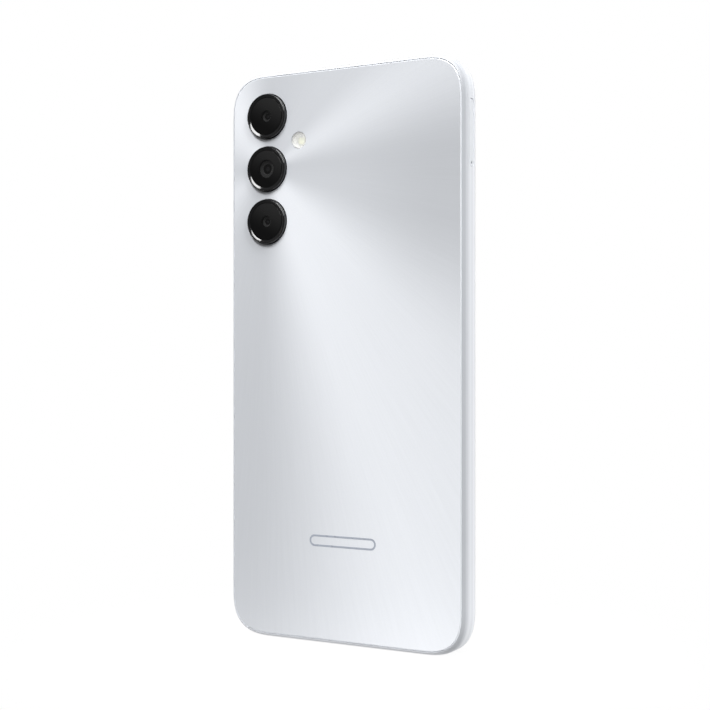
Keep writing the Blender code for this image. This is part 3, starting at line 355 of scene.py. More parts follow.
class Recipe:
    """A material while it is being built, with short helpers for its nodes."""

    def __init__(self, name, colour, roughness, metallic=0.0, **fixed):
        self.material = bpy.data.materials.new(name)
        self.material.use_nodes = True
        self.nodes = self.material.node_tree.nodes
        self.links = self.material.node_tree.links
        self.shader = self.nodes["Principled BSDF"]
        self.feed(self.shader.inputs["Base Color"], (*colour, 1.0))
        self.feed(self.shader.inputs["Roughness"], roughness)
        self.feed(self.shader.inputs["Metallic"], metallic)
        for key, value in fixed.items():
            self.feed(self.shader.inputs[SOCKETS[key]], value)
        self.place = self.node("ShaderNodeTexCoord").outputs["Object"]

    def feed(self, socket, value):
        if isinstance(value, bpy.types.NodeSocket):
            self.links.new(value, socket)
        else:
            socket.default_value = value

    def node(self, kind, inputs=None, **settings):
        made = self.nodes.new(kind)
        for key, value in settings.items():
            setattr(made, key, value)
        for key, value in (inputs or {}).items():
            self.feed(made.inputs[key], value)
        return made

    def math(self, operation, first, second=0.0):
        return self.node("ShaderNodeMath", {0: first, 1: second}, operation=operation).outputs[0]

    def length(self, first, second):
        squares = [self.math("POWER", side, 2.0) for side in (first, second)]
        return self.math("SQRT", self.math("ADD", *squares))

    def spread(self, value, low, high, to_low=0.0, to_high=1.0, smooth=False):
        """Maps low..high onto to_low..to_high, and holds it there outside."""
        kind = "SMOOTHSTEP" if smooth else "LINEAR"
        inputs = {"Value": value, "From Min": low, "From Max": high, "To Min": to_low, "To Max": to_high}
        return self.node("ShaderNodeMapRange", inputs, interpolation_type=kind).outputs["Result"]

    def stretched(self, scale):
        return self.node("ShaderNodeMapping", {"Vector": self.place, "Scale": scale}).outputs["Vector"]

    def noise(self, scale, detail=2.0, stretch=(1.0, 1.0, 1.0), vector=None):
        where = vector or self.stretched(stretch)
        inputs = {"Vector": where, "Scale": scale, "Detail": detail}
        return self.node("ShaderNodeTexNoise", inputs).outputs["Fac"]

    def cells(self, scale):
        inputs = {"Vector": self.place, "Scale": scale}
        return self.node("ShaderNodeTexVoronoi", inputs).outputs["Distance"]

    def ramp(self, value, stops, kind="LINEAR"):
        """A colour ramp; stops are (position, colour)."""
        made = self.node("ShaderNodeValToRGB", {"Fac": value})
        made.color_ramp.interpolation = kind
        elements = made.color_ramp.elements
        while len(elements) < len(stops):
            elements.new(0.5)
        for element, (position, colour) in zip(elements, stops):
            element.position = position
            element.color = (*colour, 1.0)
        return made.outputs["Color"]

    def mix(self, share, first, second, kind="MIX"):
        made = self.node("ShaderNodeMix", data_type="RGBA", blend_type=kind)
        for key, value in ((0, share), (6, first), (7, second)):
            if isinstance(value, tuple) and len(value) == 3:
                value = (*value, 1.0)
            self.feed(made.inputs[key], value)
        return made.outputs[2]

    def colour(self, value):
        self.feed(self.shader.inputs["Base Color"], value)

    def roughness(self, source, low, high):
        self.feed(self.shader.inputs["Roughness"], self.spread(source, 0.3, 0.7, low, high))

    def bump(self, height, depth_mm, strength=1.0):
        inputs = {"Height": height, "Distance": depth_mm * MM, "Strength": strength}
        self.feed(self.shader.inputs["Normal"], self.node("ShaderNodeBump", inputs).outputs["Normal"])


# Painted reflection on the rear panel: how bright its light streaks and the darker gaps between them are
# painted round the middle camera, by the angle clockwise from -X as seen from behind
PAINTED_REFLECTION_STOPS = (
    (-180, 213),
    (-120, 243),
    (-86, 206),
    (-45, 214),
    (-25, 232),
    (-2, 208),
    (14, 212),
    (48, 244),
    (66, 246),
    (94, 209),
    (112, 211),
    (150, 232),
    (180, 213),
)
# Painted shade: how much darker the panel is painted further out from the middle camera
PAINTED_SHADE_FALL = 0.14
PAINT_GAIN = 0.93


def silver(value):
    return tuple(PAINT_GAIN * channel for channel in grey(value, warm=-3, cool=5))


def silver_panel_look():
    """Silver under a clear coat, with painted reflection streaks that fan round the middle camera and painted
    shade further out.
    """
    look = Recipe("silver_panel", silver(225), 0.34, 0.0, coat=0.35, coat_roughness=0.06, ior=1.46)
    centre = middle_of("camera_ring_middle")
    place = look.node("ShaderNodeSeparateXYZ", {"Vector": look.place}).outputs
    across = look.math("SUBTRACT", centre.x * MM, place["X"])
    down = look.math("SUBTRACT", centre.z * MM, place["Z"])
    angle = look.math("ARCTAN2", down, across)
    turn = look.spread(angle, -math.pi, math.pi)
    # Painted reflection: streaks of light and darker gaps, by the angle round the middle camera
    stops = [((degrees + 180) / 360, silver(value)) for degrees, value in PAINTED_REFLECTION_STOPS]
    painted_reflection = look.ramp(turn, stops, "EASE")
    radius = look.length(across, down)
    # Painted shade: darker further out, most on one side of the middle camera
    outwards = look.spread(radius, 18 * MM, 62 * MM, 0.0, PAINTED_SHADE_FALL, smooth=True)
    facing = look.math("COSINE", look.math("SUBTRACT", angle, math.radians(6)))
    shade_lobe = look.math("POWER", look.math("MAXIMUM", facing, 0.0), 4.0)
    kept = look.math("SUBTRACT", 1.0, look.math("MULTIPLY", outwards, shade_lobe))
    shaded = look.mix(1.0, painted_reflection, kept, "MULTIPLY")
    polar = {"X": look.math("MULTIPLY", turn, 900.0), "Y": look.math("MULTIPLY", radius, 40.0)}
    rays = look.node("ShaderNodeCombineXYZ", polar)
    hairlines = look.spread(look.noise(1.0, 2.0, vector=rays.outputs[0]), 0.25, 0.75, 0.985, 1.015)
    flakes = look.spread(look.noise(5200.0, 1.0), 0.3, 0.7, 0.988, 1.012)
    grain = look.math("MULTIPLY", hairlines, flakes)
    look.colour(look.mix(1.0, shaded, grain, "MULTIPLY"))
    look.roughness(look.noise(900.0), 0.29, 0.35)
    return look.material


def panel_edge_look():
    """The panel's polished edge, where the clear coat turns down to the frame: glossy, and painted a lighter
    silver than the panel as a painted highlight along the rim.
    """
    look = Recipe("panel_edge", silver(253), 0.12, 0.0, coat=1.0, coat_roughness=0.03, ior=1.5)
    # Painted highlight: the rim's near-white tones
    look.colour(look.mix(look.noise(260.0), silver(250), silver(255)))
    look.roughness(look.noise(700.0), 0.10, 0.15)
    return look.material


# Painted light and shade on the frame's -X side: how bright it is painted across its thickness, from the
# display side to the rear
BAND_STOPS = (
    (0.0, 247),
    (0.3, 252),
    (0.45, 236),
    (0.6, 241),
    (0.73, 228),
    (0.84, 205),
    (0.92, 184),
    (1.0, 184),
)


def silver_frame_look():
    """Satin paint with fine flakes. Part of the shading of the -X side is painted in, across its thickness."""
    look = Recipe("silver_frame", silver(235), 0.34, 0.0, coat=0.25, coat_roughness=0.3, ior=1.46)
    place = look.node("ShaderNodeSeparateXYZ", {"Vector": look.place}).outputs
    across = look.spread(place["Y"], BAND_LOW.y * MM, BAND_HIGH.y * MM)
    # Painted light and shade across the thickness, full on the -X side and faint elsewhere
    painted_band_shading = look.ramp(across, [(position, silver(value)) for position, value in BAND_STOPS], "EASE")
    side = look.spread(place["X"], -SIDE_X * MM, -0.72 * SIDE_X * MM, 1.0, 0.15, smooth=True)
    tone = look.mix(side, silver(240), painted_band_shading)
    flakes = look.spread(look.noise(7000.0, 1.0), 0.3, 0.7, 0.99, 1.01)
    look.colour(look.mix(1.0, tone, flakes, "MULTIPLY"))
    look.roughness(look.noise(900.0), 0.3, 0.38)
    return look.material


def black_ring_look():
    """Black ceramic-coated metal, turned: its fine grooves run round the camera."""
    look = Recipe("black_ring", (0.004, 0.004, 0.005), 0.12, 0.0, ior=1.6)
    look.colour(look.mix(look.noise(1400.0), (0.0028, 0.0028, 0.0034), (0.006, 0.006, 0.0065)))
    look.roughness(look.noise(2200.0, 1.0, (0.3, 6.0, 0.3)), 0.09, 0.15)
    return look.material


def camera_print_look():
    """The cover glass over its black printing, with a painted reflection that makes it a little lighter
    towards its upper side at -X.
    """
    look = Recipe("camera_print", (0.006, 0.006, 0.006), 0.04, 0.0, ior=1.42, coat_roughness=0.02)
    spot = look.node("ShaderNodeTexCoord").outputs["Generated"]
    parts = look.node("ShaderNodeSeparateXYZ", {"Vector": spot}).outputs
    # Painted reflection: lighter towards the upper side at -X
    rise = look.math("SUBTRACT", parts["Z"], look.math("MULTIPLY", parts["X"], 0.55))
    painted_reflection_mask = look.spread(rise, -0.15, 0.85, smooth=True)
    look.colour(look.mix(painted_reflection_mask, (0.0012, 0.0012, 0.0013), (0.017, 0.017, 0.017)))
    look.roughness(look.noise(500.0), 0.03, 0.06)
    return look.material


def camera_window_look():
    """The clear middle of a cover glass: half see-through, as glossy as the print round it."""
    look = Recipe("camera_window", (0.002, 0.002, 0.002), 0.04, 0.0, alpha=0.5, specular=1.0, ior=1.42)
    look.colour(look.mix(look.noise(300.0), (0.001, 0.001, 0.001), (0.003, 0.003, 0.003)))
    look.roughness(look.noise(500.0), 0.03, 0.06)
    return look.material


def lens_holder_look():
    look = Recipe("lens_holder", (0.4, 0.4, 0.406), 0.38, 0.0)
    look.colour(look.mix(look.noise(2600.0, 1.0), (0.36, 0.36, 0.366), (0.44, 0.44, 0.446)))
    look.roughness(look.noise(1800.0), 0.33, 0.43)
    return look.material


def lens_element_look():
    """A coated lens element: nearly black, with its coating's faint violet reflection painted in at the edge,
    where it is seen at a slant.
    """
    look = Recipe("lens_element", (0.002, 0.002, 0.003), 0.03, 0.0, coat=1.0, coat_roughness=0.01, ior=1.6)
    edge = look.node("ShaderNodeLayerWeight", {"Blend": 0.35}).outputs["Facing"]
    # Painted reflection: the coating's violet where the surface is seen at a slant
    look.colour(look.mix(edge, (0.0015, 0.0015, 0.002), (0.012, 0.009, 0.02)))
    look.roughness(look.noise(900.0), 0.02, 0.04)
    return look.material


def lens_dome_look():
    """The small front lens in the aperture, bright enough to read against the black cone round it: its grey
    where it faces the viewer is a painted highlight, and its violet edge a painted reflection.
    """
    look = Recipe("lens_dome", (0.06, 0.06, 0.066), 0.05, 0.0, coat=1.0, coat_roughness=0.02, ior=1.6)
    edge = look.node("ShaderNodeLayerWeight", {"Blend": 0.4}).outputs["Facing"]
    # Painted highlight where it faces the viewer, painted violet reflection at a slant
    look.colour(look.mix(edge, (0.16, 0.16, 0.17), (0.06, 0.05, 0.09)))
    look.roughness(look.noise(900.0), 0.04, 0.07)
    return look.material


def clear_lens_look():
    look = Recipe("clear_lens", (0.97, 0.97, 0.96), 0.16, 0.0, alpha=0.36, ior=1.42)
    look.colour(look.mix(look.noise(420.0), (0.95, 0.95, 0.94), (0.99, 0.99, 0.98)))
    look.roughness(look.noise(1500.0), 0.12, 0.2)
    return look.material


def phosphor_look():
    # Painted light: the phosphor glows faintly, though the flash is off
    look = Recipe("phosphor", (0.9, 0.92, 0.58), 0.5, 0.0, glow=0.15)
    look.feed(look.shader.inputs["Emission Color"], (0.95, 1.0, 0.6, 1.0))
    look.colour(look.mix(look.noise(5200.0, 3.0), (0.88, 0.9, 0.54), (0.94, 0.95, 0.66)))
    look.roughness(look.noise(3000.0), 0.45, 0.6)
    look.bump(look.noise(6000.0), 0.01, 0.5)
    return look.material


def reflector_look():
    look = Recipe("flash_reflector", (0.95, 0.95, 0.94), 0.25, 0.0, coat=0.3)
    look.colour(look.mix(look.noise(800.0), (0.93, 0.93, 0.92), (0.97, 0.97, 0.96)))
    look.roughness(look.noise(900.0), 0.2, 0.3)
    return look.material


def dark_glass_look():
    """Cover glass with a black border printed behind it, round a switched-off panel that is a shade bluer."""
    look = Recipe("dark_glass", (0.004, 0.004, 0.005), 0.03, 0.0, coat_roughness=0.02, ior=1.5)
    place = look.node("ShaderNodeSeparateXYZ", {"Vector": look.place}).outputs
    low, high = box_mm("lcd_panel")
    half_w, half_h = (high.x - low.x) / 2 - 0.9, (high.z - low.z) / 2 - 3.1
    middle_z = (low.z + high.z) / 2 + 1.2
    radius = 9.0
    outside = []
    for coordinate, middle, half in (("X", 0.0, half_w), ("Z", middle_z, half_h)):
        offset = look.math("ABSOLUTE", look.math("SUBTRACT", place[coordinate], middle * MM))
        outside.append(look.math("MAXIMUM", look.math("SUBTRACT", offset, (half - radius) * MM), 0.0))
    distance = look.length(*outside)
    inside = look.spread(distance, (radius - 0.05) * MM, (radius + 0.05) * MM, 1.0, 0.0)
    camera = middle_of("front_camera")
    dx = look.math("SUBTRACT", place["X"], camera.x * MM)
    dz = look.math("MINIMUM", look.math("SUBTRACT", place["Z"], camera.z * MM), 0.0)
    near = look.length(dx, dz)
    notch = look.spread(near, 3.4 * MM, 3.5 * MM)
    active = look.math("MULTIPLY", inside, notch)
    smudge = look.spread(look.noise(45.0, 4.0), 0.35, 0.7, 0.8, 1.25)
    panel = look.mix(1.0, (0.0075, 0.008, 0.0105), smudge, "MULTIPLY")
    look.colour(look.mix(active, (0.0022, 0.0022, 0.0025), panel))
    look.roughness(look.noise(38.0, 4.0), 0.025, 0.05)
    return look.material


def lcd_stack_look():
    look = Recipe("lcd_stack", (0.015, 0.015, 0.02), 0.2, 0.0, coat=0.3)
    rows = look.node("ShaderNodeTexWave", {"Vector": look.stretched((1, 0, 0)), "Scale": 4000.0})
    look.colour(look.mix(rows.outputs["Fac"], (0.011, 0.011, 0.016), (0.02, 0.019, 0.024)))
    look.roughness(look.noise(300.0), 0.16, 0.26)
    return look.material


def black_plastic_look():
    look = Recipe("black_plastic", (0.02, 0.02, 0.022), 0.5)
    look.colour(look.mix(look.noise(1500.0, 3.0), (0.015, 0.015, 0.017), (0.028, 0.028, 0.03)))
    look.roughness(look.noise(900.0), 0.42, 0.58)
    look.bump(look.noise(4200.0, 3.0), 0.01, 0.6)
    return look.material


def steel_look():
    """Rolled sheet: brushed along the length, with faint clouding."""
    look = Recipe("steel", (0.55, 0.56, 0.58), 0.3, 1.0, anisotropy=0.4)
    brushed = look.noise(900.0, 3.0, (5.0, 5.0, 0.25))
    look.colour(look.mix(brushed, (0.48, 0.49, 0.51), (0.62, 0.63, 0.65)))
    look.roughness(brushed, 0.24, 0.38)
    look.bump(brushed, 0.004, 0.5)
    return look.material


def mesh_cloth_look():
    """Fine woven screen, as over the earpiece and the loudspeaker."""
    look = Recipe("screen_mesh", (0.06, 0.06, 0.065), 0.45, 0.6)
    weave = []
    for direction in ("X", "Z"):
        inputs = {"Vector": look.place, "Scale": 1500.0}
        weave.append(look.node("ShaderNodeTexWave", inputs, bands_direction=direction).outputs["Fac"])
    threads = look.math("MAXIMUM", *weave)
    look.colour(look.mix(threads, (0.008, 0.008, 0.009), (0.13, 0.13, 0.135)))
    look.roughness(threads, 0.6, 0.4)
    look.bump(threads, 0.05)
    return look.material


def chassis_metal_look():
    look = Recipe("chassis_metal", (0.35, 0.36, 0.38), 0.45, 1.0)
    look.colour(look.mix(look.noise(700.0, 4.0), (0.28, 0.29, 0.31), (0.42, 0.43, 0.45)))
    look.roughness(look.noise(500.0, 4.0), 0.38, 0.55)
    look.bump(look.noise(2600.0, 3.0), 0.02, 0.6)
    return look.material


def board_green_look():
    """Solder mask over copper traces, with rows of tinned pads."""
    look = Recipe("board_green", (0.02, 0.12, 0.08), 0.38, 0.0, coat=0.4, coat_roughness=0.2)
    inputs = {"Vector": look.stretched((1, 1, 1)), "Scale": 620.0, "Mortar Size": 0.012, "Row Height": 0.4}
    traces = look.node("ShaderNodeTexBrick", inputs).outputs["Fac"]
    mask = look.mix(look.noise(160.0, 3.0), (0.012, 0.095, 0.06), (0.025, 0.14, 0.09))
    etched = look.mix(traces, mask, (0.045, 0.2, 0.12))
    pads = look.spread(look.cells(700.0), 0.1, 0.14, 1.0, 0.0)
    look.colour(look.mix(pads, etched, (0.55, 0.54, 0.5)))
    look.feed(look.shader.inputs["Metallic"], look.math("MULTIPLY", pads, 0.9))
    look.bump(traces, 0.02, 0.5)
    return look.material


def flex_orange_look():
    """Polyimide film with copper tracks running along it."""
    look = Recipe("flex_orange", (0.45, 0.18, 0.03), 0.4, 0.0, coat=0.5, coat_roughness=0.2)
    tracks = look.node("ShaderNodeTexWave", {"Vector": look.stretched((1, 0, 0)), "Scale": 700.0})
    lines = look.spread(tracks.outputs["Fac"], 0.45, 0.55)
    film = look.mix(look.noise(240.0), (0.40, 0.15, 0.02), (0.5, 0.22, 0.045))
    look.colour(look.mix(look.math("MULTIPLY", lines, 0.5), film, (0.62, 0.33, 0.12)))
    look.roughness(look.noise(400.0), 0.32, 0.45)
    return look.material


def battery_wrap_look():
    look = Recipe("battery_wrap", (0.05, 0.05, 0.055), 0.35, 0.5)
    creases = look.noise(70.0, 5.0)
    look.colour(look.mix(creases, (0.038, 0.038, 0.042), (0.07, 0.07, 0.076)))
    look.roughness(creases, 0.28, 0.45)
    look.bump(creases, 0.15, 0.6)
    return look.material


def backlight_white_look():
    look = Recipe("backlight_white", (0.8, 0.8, 0.8), 0.5)
    dots = look.spread(look.cells(1500.0), 0.2, 0.4, 0.96, 1.0)
    look.colour(look.mix(1.0, (0.82, 0.82, 0.83), dots, "MULTIPLY"))
    look.roughness(look.noise(300.0), 0.42, 0.55)
    return look.material


def rubber_look():
    look = Recipe("rubber", (0.03, 0.03, 0.03), 0.8)
    look.colour(look.mix(look.noise(1800.0, 3.0), (0.022, 0.022, 0.022), (0.04, 0.04, 0.041)))
    look.roughness(look.noise(1200.0), 0.7, 0.88)
    look.bump(look.noise(3000.0, 3.0), 0.01, 0.6)
    return look.material


def adhesive_look():
    look = Recipe("adhesive", (0.05, 0.05, 0.05), 0.7)
    look.colour(look.mix(look.noise(900.0, 4.0), (0.03, 0.03, 0.03), (0.075, 0.075, 0.075)))
    look.roughness(look.noise(700.0), 0.6, 0.8)
    return look.material


def diaphragm_look():
    look = Recipe("diaphragm", (0.1, 0.1, 0.11), 0.6)
    fibres = look.noise(1300.0, 5.0, (1.0, 1.0, 3.0))
    look.colour(look.mix(fibres, (0.07, 0.07, 0.078), (0.14, 0.14, 0.15)))
    look.roughness(fibres, 0.5, 0.7)
    look.bump(fibres, 0.02, 0.5)
    return look.material


def brass_look():
    look = Recipe("brass", (0.7, 0.52, 0.22), 0.3, 1.0)
    turned = look.noise(1100.0, 3.0, (1.0, 6.0, 1.0))
    look.colour(look.mix(turned, (0.6, 0.43, 0.17), (0.78, 0.6, 0.28)))
    look.roughness(turned, 0.24, 0.38)
    return look.material


def contact_gold_look():
    look = Recipe("contact_gold", (0.85, 0.62, 0.25), 0.22, 1.0)
    look.colour(look.mix(look.noise(2400.0), (0.78, 0.56, 0.2), (0.9, 0.68, 0.32)))
    look.roughness(look.noise(1500.0), 0.18, 0.28)
    return look.material


def mark_look():
    """Pale blue-grey ink for the plain mark on the back."""
    look = Recipe("mark_ink", grey(176, -6, 12), 0.3, 0.1, coat=0.5, coat_roughness=0.08)
    look.colour(look.mix(look.noise(900.0), grey(170, -6, 12), grey(182, -6, 12)))
    look.roughness(look.noise(700.0), 0.26, 0.34)
    return look.material


LOOKS = {
    "silver_panel": silver_panel_look(),
    "silver_frame": silver_frame_look(),
    "black_ring": black_ring_look(),
    "dark_glass": dark_glass_look(),
    "lcd_stack": lcd_stack_look(),
    "clear_lens": clear_lens_look(),
    "phosphor": phosphor_look(),
    "black_plastic": black_plastic_look(),
    "steel": steel_look(),
    "chassis_metal": chassis_metal_look(),
    "board_green": board_green_look(),
    "flex_orange": flex_orange_look(),
    "battery_wrap": battery_wrap_look(),
    "backlight_white": backlight_white_look(),
    "rubber": rubber_look(),
    "adhesive": adhesive_look(),
    "diaphragm": diaphragm_look(),
    "brass": brass_look(),
}
PANEL_EDGE = panel_edge_look()
CAMERA_PRINT = camera_print_look()
CAMERA_WINDOW = camera_window_look()
LENS_HOLDER = lens_holder_look()
LENS_ELEMENT = lens_element_look()
LENS_DOME = lens_dome_look()
REFLECTOR = reflector_look()
MESH_CLOTH = mesh_cloth_look()
CONTACT_GOLD = contact_gold_look()
MARK_INK = mark_look()


def dress_frame_nodes():
    """Every CAD node gets its slot's material, and the earpiece's mesh its own."""
    for name, node in frame["nodes"].items():
        look = MESH_CLOTH if name == "earpiece_mesh" else LOOKS[SLOT_OF[name]]
        if not node.material_slots:
            node.data.materials.append(None)
        for material_slot in node.material_slots:
            material_slot.link = "OBJECT"
            material_slot.material = look


# The outer shell


def band_section():
    """(inset, y) points once round the frame's section, with its curved outer side."""
    points = []
    for step in range(13):
        share = 1 - step / 12
        points.append((0.85 * share**2, -2.0 - 2.85 * share))
    for step in range(13):
        share = step / 12
        points.append((0.95 * share**2.3, 1.5 + 2.2 * share))
    inner = ((1.05, 3.7), (1.05, 2.6), (FRAME_WALL, 2.6), (FRAME_WALL, -3.95), (1.05, -3.95), (1.05, -4.85))
    return points + list(inner)


def flared_hole(bm, outline, axis, surface, inwards, depth):
    """A hole through the wall at surface, with its rim broken. outline gives its points for a margin."""
    outwards = -inwards
    stations = (
        (EDGE_BREAK + 0.9, surface + outwards * 0.9),
        (EDGE_BREAK, surface),
        (0.0, surface + inwards * EDGE_BREAK),
        (0.0, surface + inwards * depth),
    )
    skin(bm, [on_axis(outline(grow), axis, height) for grow, height in stations])


def make_band():
    power, volume, tray = (middle_of(node) for node in ("power_key", "volume_key", "sim_tray"))
    tray_low, tray_high = box_mm("sim_tray")
    depth = FRAME_WALL + 1

    def openings(bm):
        for key, length in ((power, POWER_L), (volume, VOLUME_L)):
            half_h = KEY_H / 2 + KEY_GAP
            half_l = length / 2 + KEY_GAP
            flared_hole(
                bm,
                lambda grow, key=key, half_l=half_l: slot_outline(MID_Y, key.z, half_h, half_l, grow),
                "X",
                SIDE_X,
                -1,
                depth,
            )
        half_h = (tray_high.y - tray_low.y) / 2 + FIT_GAP
        half_l = (tray_high.z - tray_low.z) / 2 + FIT_GAP
        flared_hole(
            bm,
            lambda grow: slot_outline(tray.y, tray.z, half_h, half_l, grow * 0.3),
            "X",
            -SIDE_X,
            1,
            depth,
        )
        usb_low, usb_high = box_mm("usb_port_shell")
        half_w = (usb_high.x - usb_low.x) / 2 + 0.18
        half_h = (usb_high.y - usb_low.y) / 2 + 0.17
        flared_hole(bm, lambda grow: slot_outline(0, MID_Y, half_w, half_h, grow), "Z", 0.0, 1, depth)
        round_holes = [(JACK_X, JACK_HOLE_R), (MIC_X, MIC_HOLE_R)]
        for hole in range(SPEAKER_HOLES):
            round_holes.append((SPEAKER_X + hole * SPEAKER_PITCH, SPEAKER_HOLE_R))
        for x, radius in round_holes:
            flared_hole(
                bm,
                lambda grow, x=x, radius=radius: circle((x, MID_Y), radius + grow, 48),
                "Z",
                0.0,
                1,
                depth,
            )

    add_piece(
        "frame_band",
        lambda bm: add_sheet(bm, band_section(), closed=True),
        [LOOKS["silver_frame"]],
        "phone",
        stands_for=["side_frame"],
        cuts=[openings],
    )


def make_back_cover():
    """The rear panel: a flat coated back that turns down in a polished edge."""
    thickness = PANEL_HIGH.y - PANEL_LOW.y

    def shape(bm):
        rim = quarter_round((0.0, -0.25), (0.3, 0.0), 8)
        section = [(0.0, -thickness)] + [(inwards, y) for inwards, y in rim]
        faces = add_sheet(bm, [(COVER_INSET + inwards, BACK_Y + y) for inwards, y in section])
        for face in faces[:-2]:
            face.material_index = 1

    def holes(bm):
        span = (PANEL_LOW.y - 1, BACK_Y + 1)
        for place in CAMERAS:
            centre = middle_of(f"camera_ring_{place}")
            add_prism(bm, circle((centre.x, centre.z), RING_R + 0.2, ROUND_STEPS), "Y", span)
        flash = middle_of("flash_lens")
        add_prism(bm, circle((flash.x, flash.z), FLASH_R + FIT_GAP, ROUND_STEPS), "Y", span)

    add_piece(
        "back_cover",
        shape,
        [LOOKS["silver_panel"], PANEL_EDGE],
        "phone",
        stands_for=["rear_panel"],
        cuts=[holes],
        crease=50,
    )


def make_mark():
    """A plain outlined pill on the lower back."""

    def shape(bm):
        loops = []
        for grow, y in (
            (0.0, BACK_Y - 0.05),
            (0.0, BACK_Y + 0.02),
            (-PILL_LINE, BACK_Y + 0.02),
            (-PILL_LINE, BACK_Y - 0.05),
        ):
            loops.append(on_axis(slot_outline(0, PILL_Z, PILL_W / 2, PILL_H / 2, grow, 16), "Y", y))
        skin(bm, loops, closed=True)

    add_piece("back_mark", shape, [MARK_INK], "phone")


def make_front_glass():
    """The display's cover glass with its rounded rim and the slit for the earpiece at the top edge."""
    thickness = GLASS_HIGH.y - GLASS_LOW.y

    def shape(bm):
        rim = quarter_round((0.0, 0.25), (0.3, 0.0), 8)
        section = [(0.0, thickness)] + rim
        add_sheet(bm, [(COVER_INSET + inwards, FRONT_Y + y) for inwards, y in section])

    def earpiece_slit(bm):
        mesh_low, mesh_high = box_mm("earpiece_mesh")
        low = (mesh_low.x - 0.2, mesh_low.z - 0.12)
        high = (mesh_high.x + 0.2, BODY_H)
        add_prism(bm, rounded_box(low, high, 0.3), "Y", (FRONT_Y - 1, GLASS_HIGH.y + 1))

    add_piece(
        "front_glass",
        shape,
        [LOOKS["dark_glass"]],
        "phone",
        stands_for=["display_glass"],
        cuts=[earpiece_slit],
        crease=50,
    )


def make_front_camera_lens():
    """The front camera, seen as a small dark lens in a thin ring, set into the glass."""
    camera = middle_of("front_camera")
    centre = (camera.x, camera.z)
    face = FRONT_Y - 0.004

    def ring(bm):
        inner, foot = SELFIE_LENS_R + 0.05, FRONT_Y + 0.1
        profile = ((SELFIE_RING_R, foot), (SELFIE_RING_R, face), (inner, face), (inner, foot))
        add_turned(bm, centre, profile, closed=True)

    def lens(bm):
        edge_y = FRONT_Y + 0.002
        profile = [(SELFIE_LENS_R, FRONT_Y + 0.12), (SELFIE_LENS_R, edge_y)]
        for step in range(1, 8):
            swell = 0.012 * math.sin(math.pi * step / 16)
            profile.append((SELFIE_LENS_R * (1 - step / 8), edge_y - swell))
        profile.append((0, FRONT_Y - 0.01))
        add_turned(bm, centre, profile)

    add_piece("selfie_ring", ring, [LOOKS["black_ring"]], "phone")
    add_piece("selfie_lens", lens, [LENS_ELEMENT], "phone")


# Cameras and flash


def ring_profile():
    """(radius, y) of a camera ring: a flange inside, a wall, a narrow flat top with a bevel on both sides."""
    low = RING_LOW.y
    flange_y = PANEL_LOW.y - 0.2
    seat_y = COVER_LOW.y - FIT_GAP
    return (
        (BORE_R, low),
        (FLANGE_R, low),
        (FLANGE_R, flange_y),
        (RING_R, flange_y),
        (RING_R, RING_TOP_Y - 0.36),
        (RING_R - 0.03, RING_TOP_Y - 0.28),
        (RING_R - OUTER_BEVEL, RING_TOP_Y - 0.02),
        (RING_R - OUTER_BEVEL - 0.05, RING_TOP_Y),
        (SEAT_R + INNER_BEVEL + 0.03, RING_TOP_Y),
        (SEAT_R + INNER_BEVEL, RING_TOP_Y - 0.01),
        (SEAT_R, RING_TOP_Y - INNER_BEVEL * INNER_SLOPE),
        (SEAT_R, seat_y),
        (BORE_R, seat_y),
    )


def make_rings():
    for place in CAMERAS:
        centre = middle_of(f"camera_ring_{place}")
        add_piece(
            f"lens_ring_{place}",
            lambda bm: add_turned(bm, (centre.x, centre.z), ring_profile(), closed=True),
            [LOOKS["black_ring"]],
            "phone",
            stands_for=[f"camera_ring_{place}"],
        )


def make_cover_glasses():
    """Cover glasses: clear over the lens, printed black around it."""
    low, high = COVER_LOW.y, COVER_HIGH.y
    chamfer = 0.02
    for place in CAMERAS:
        centre = middle_of(f"camera_glass_{place}")
        window = LENS_SIZES[place][1] + 0.12

        def shape(bm, centre=centre, window=window):
            profile = (
                (0, low),
                (window, low),
                (COVER_R, low),
                (COVER_R, high - chamfer),
                (COVER_R - chamfer, high),
                (window, high),
                (0, high),
            )
            faces = add_turned(bm, (centre.x, centre.z), profile)
            for face in faces:
                reach = max(math.hypot(v.co.x - centre.x, v.co.z - centre.z) for v in face.verts)
                face.material_index = 1 if reach < window + 0.01 else 0

        add_piece(
            f"cover_glass_{place}",
            shape,
            [CAMERA_PRINT, CAMERA_WINDOW],
            "phone",
            stands_for=[f"camera_glass_{place}"],
        )


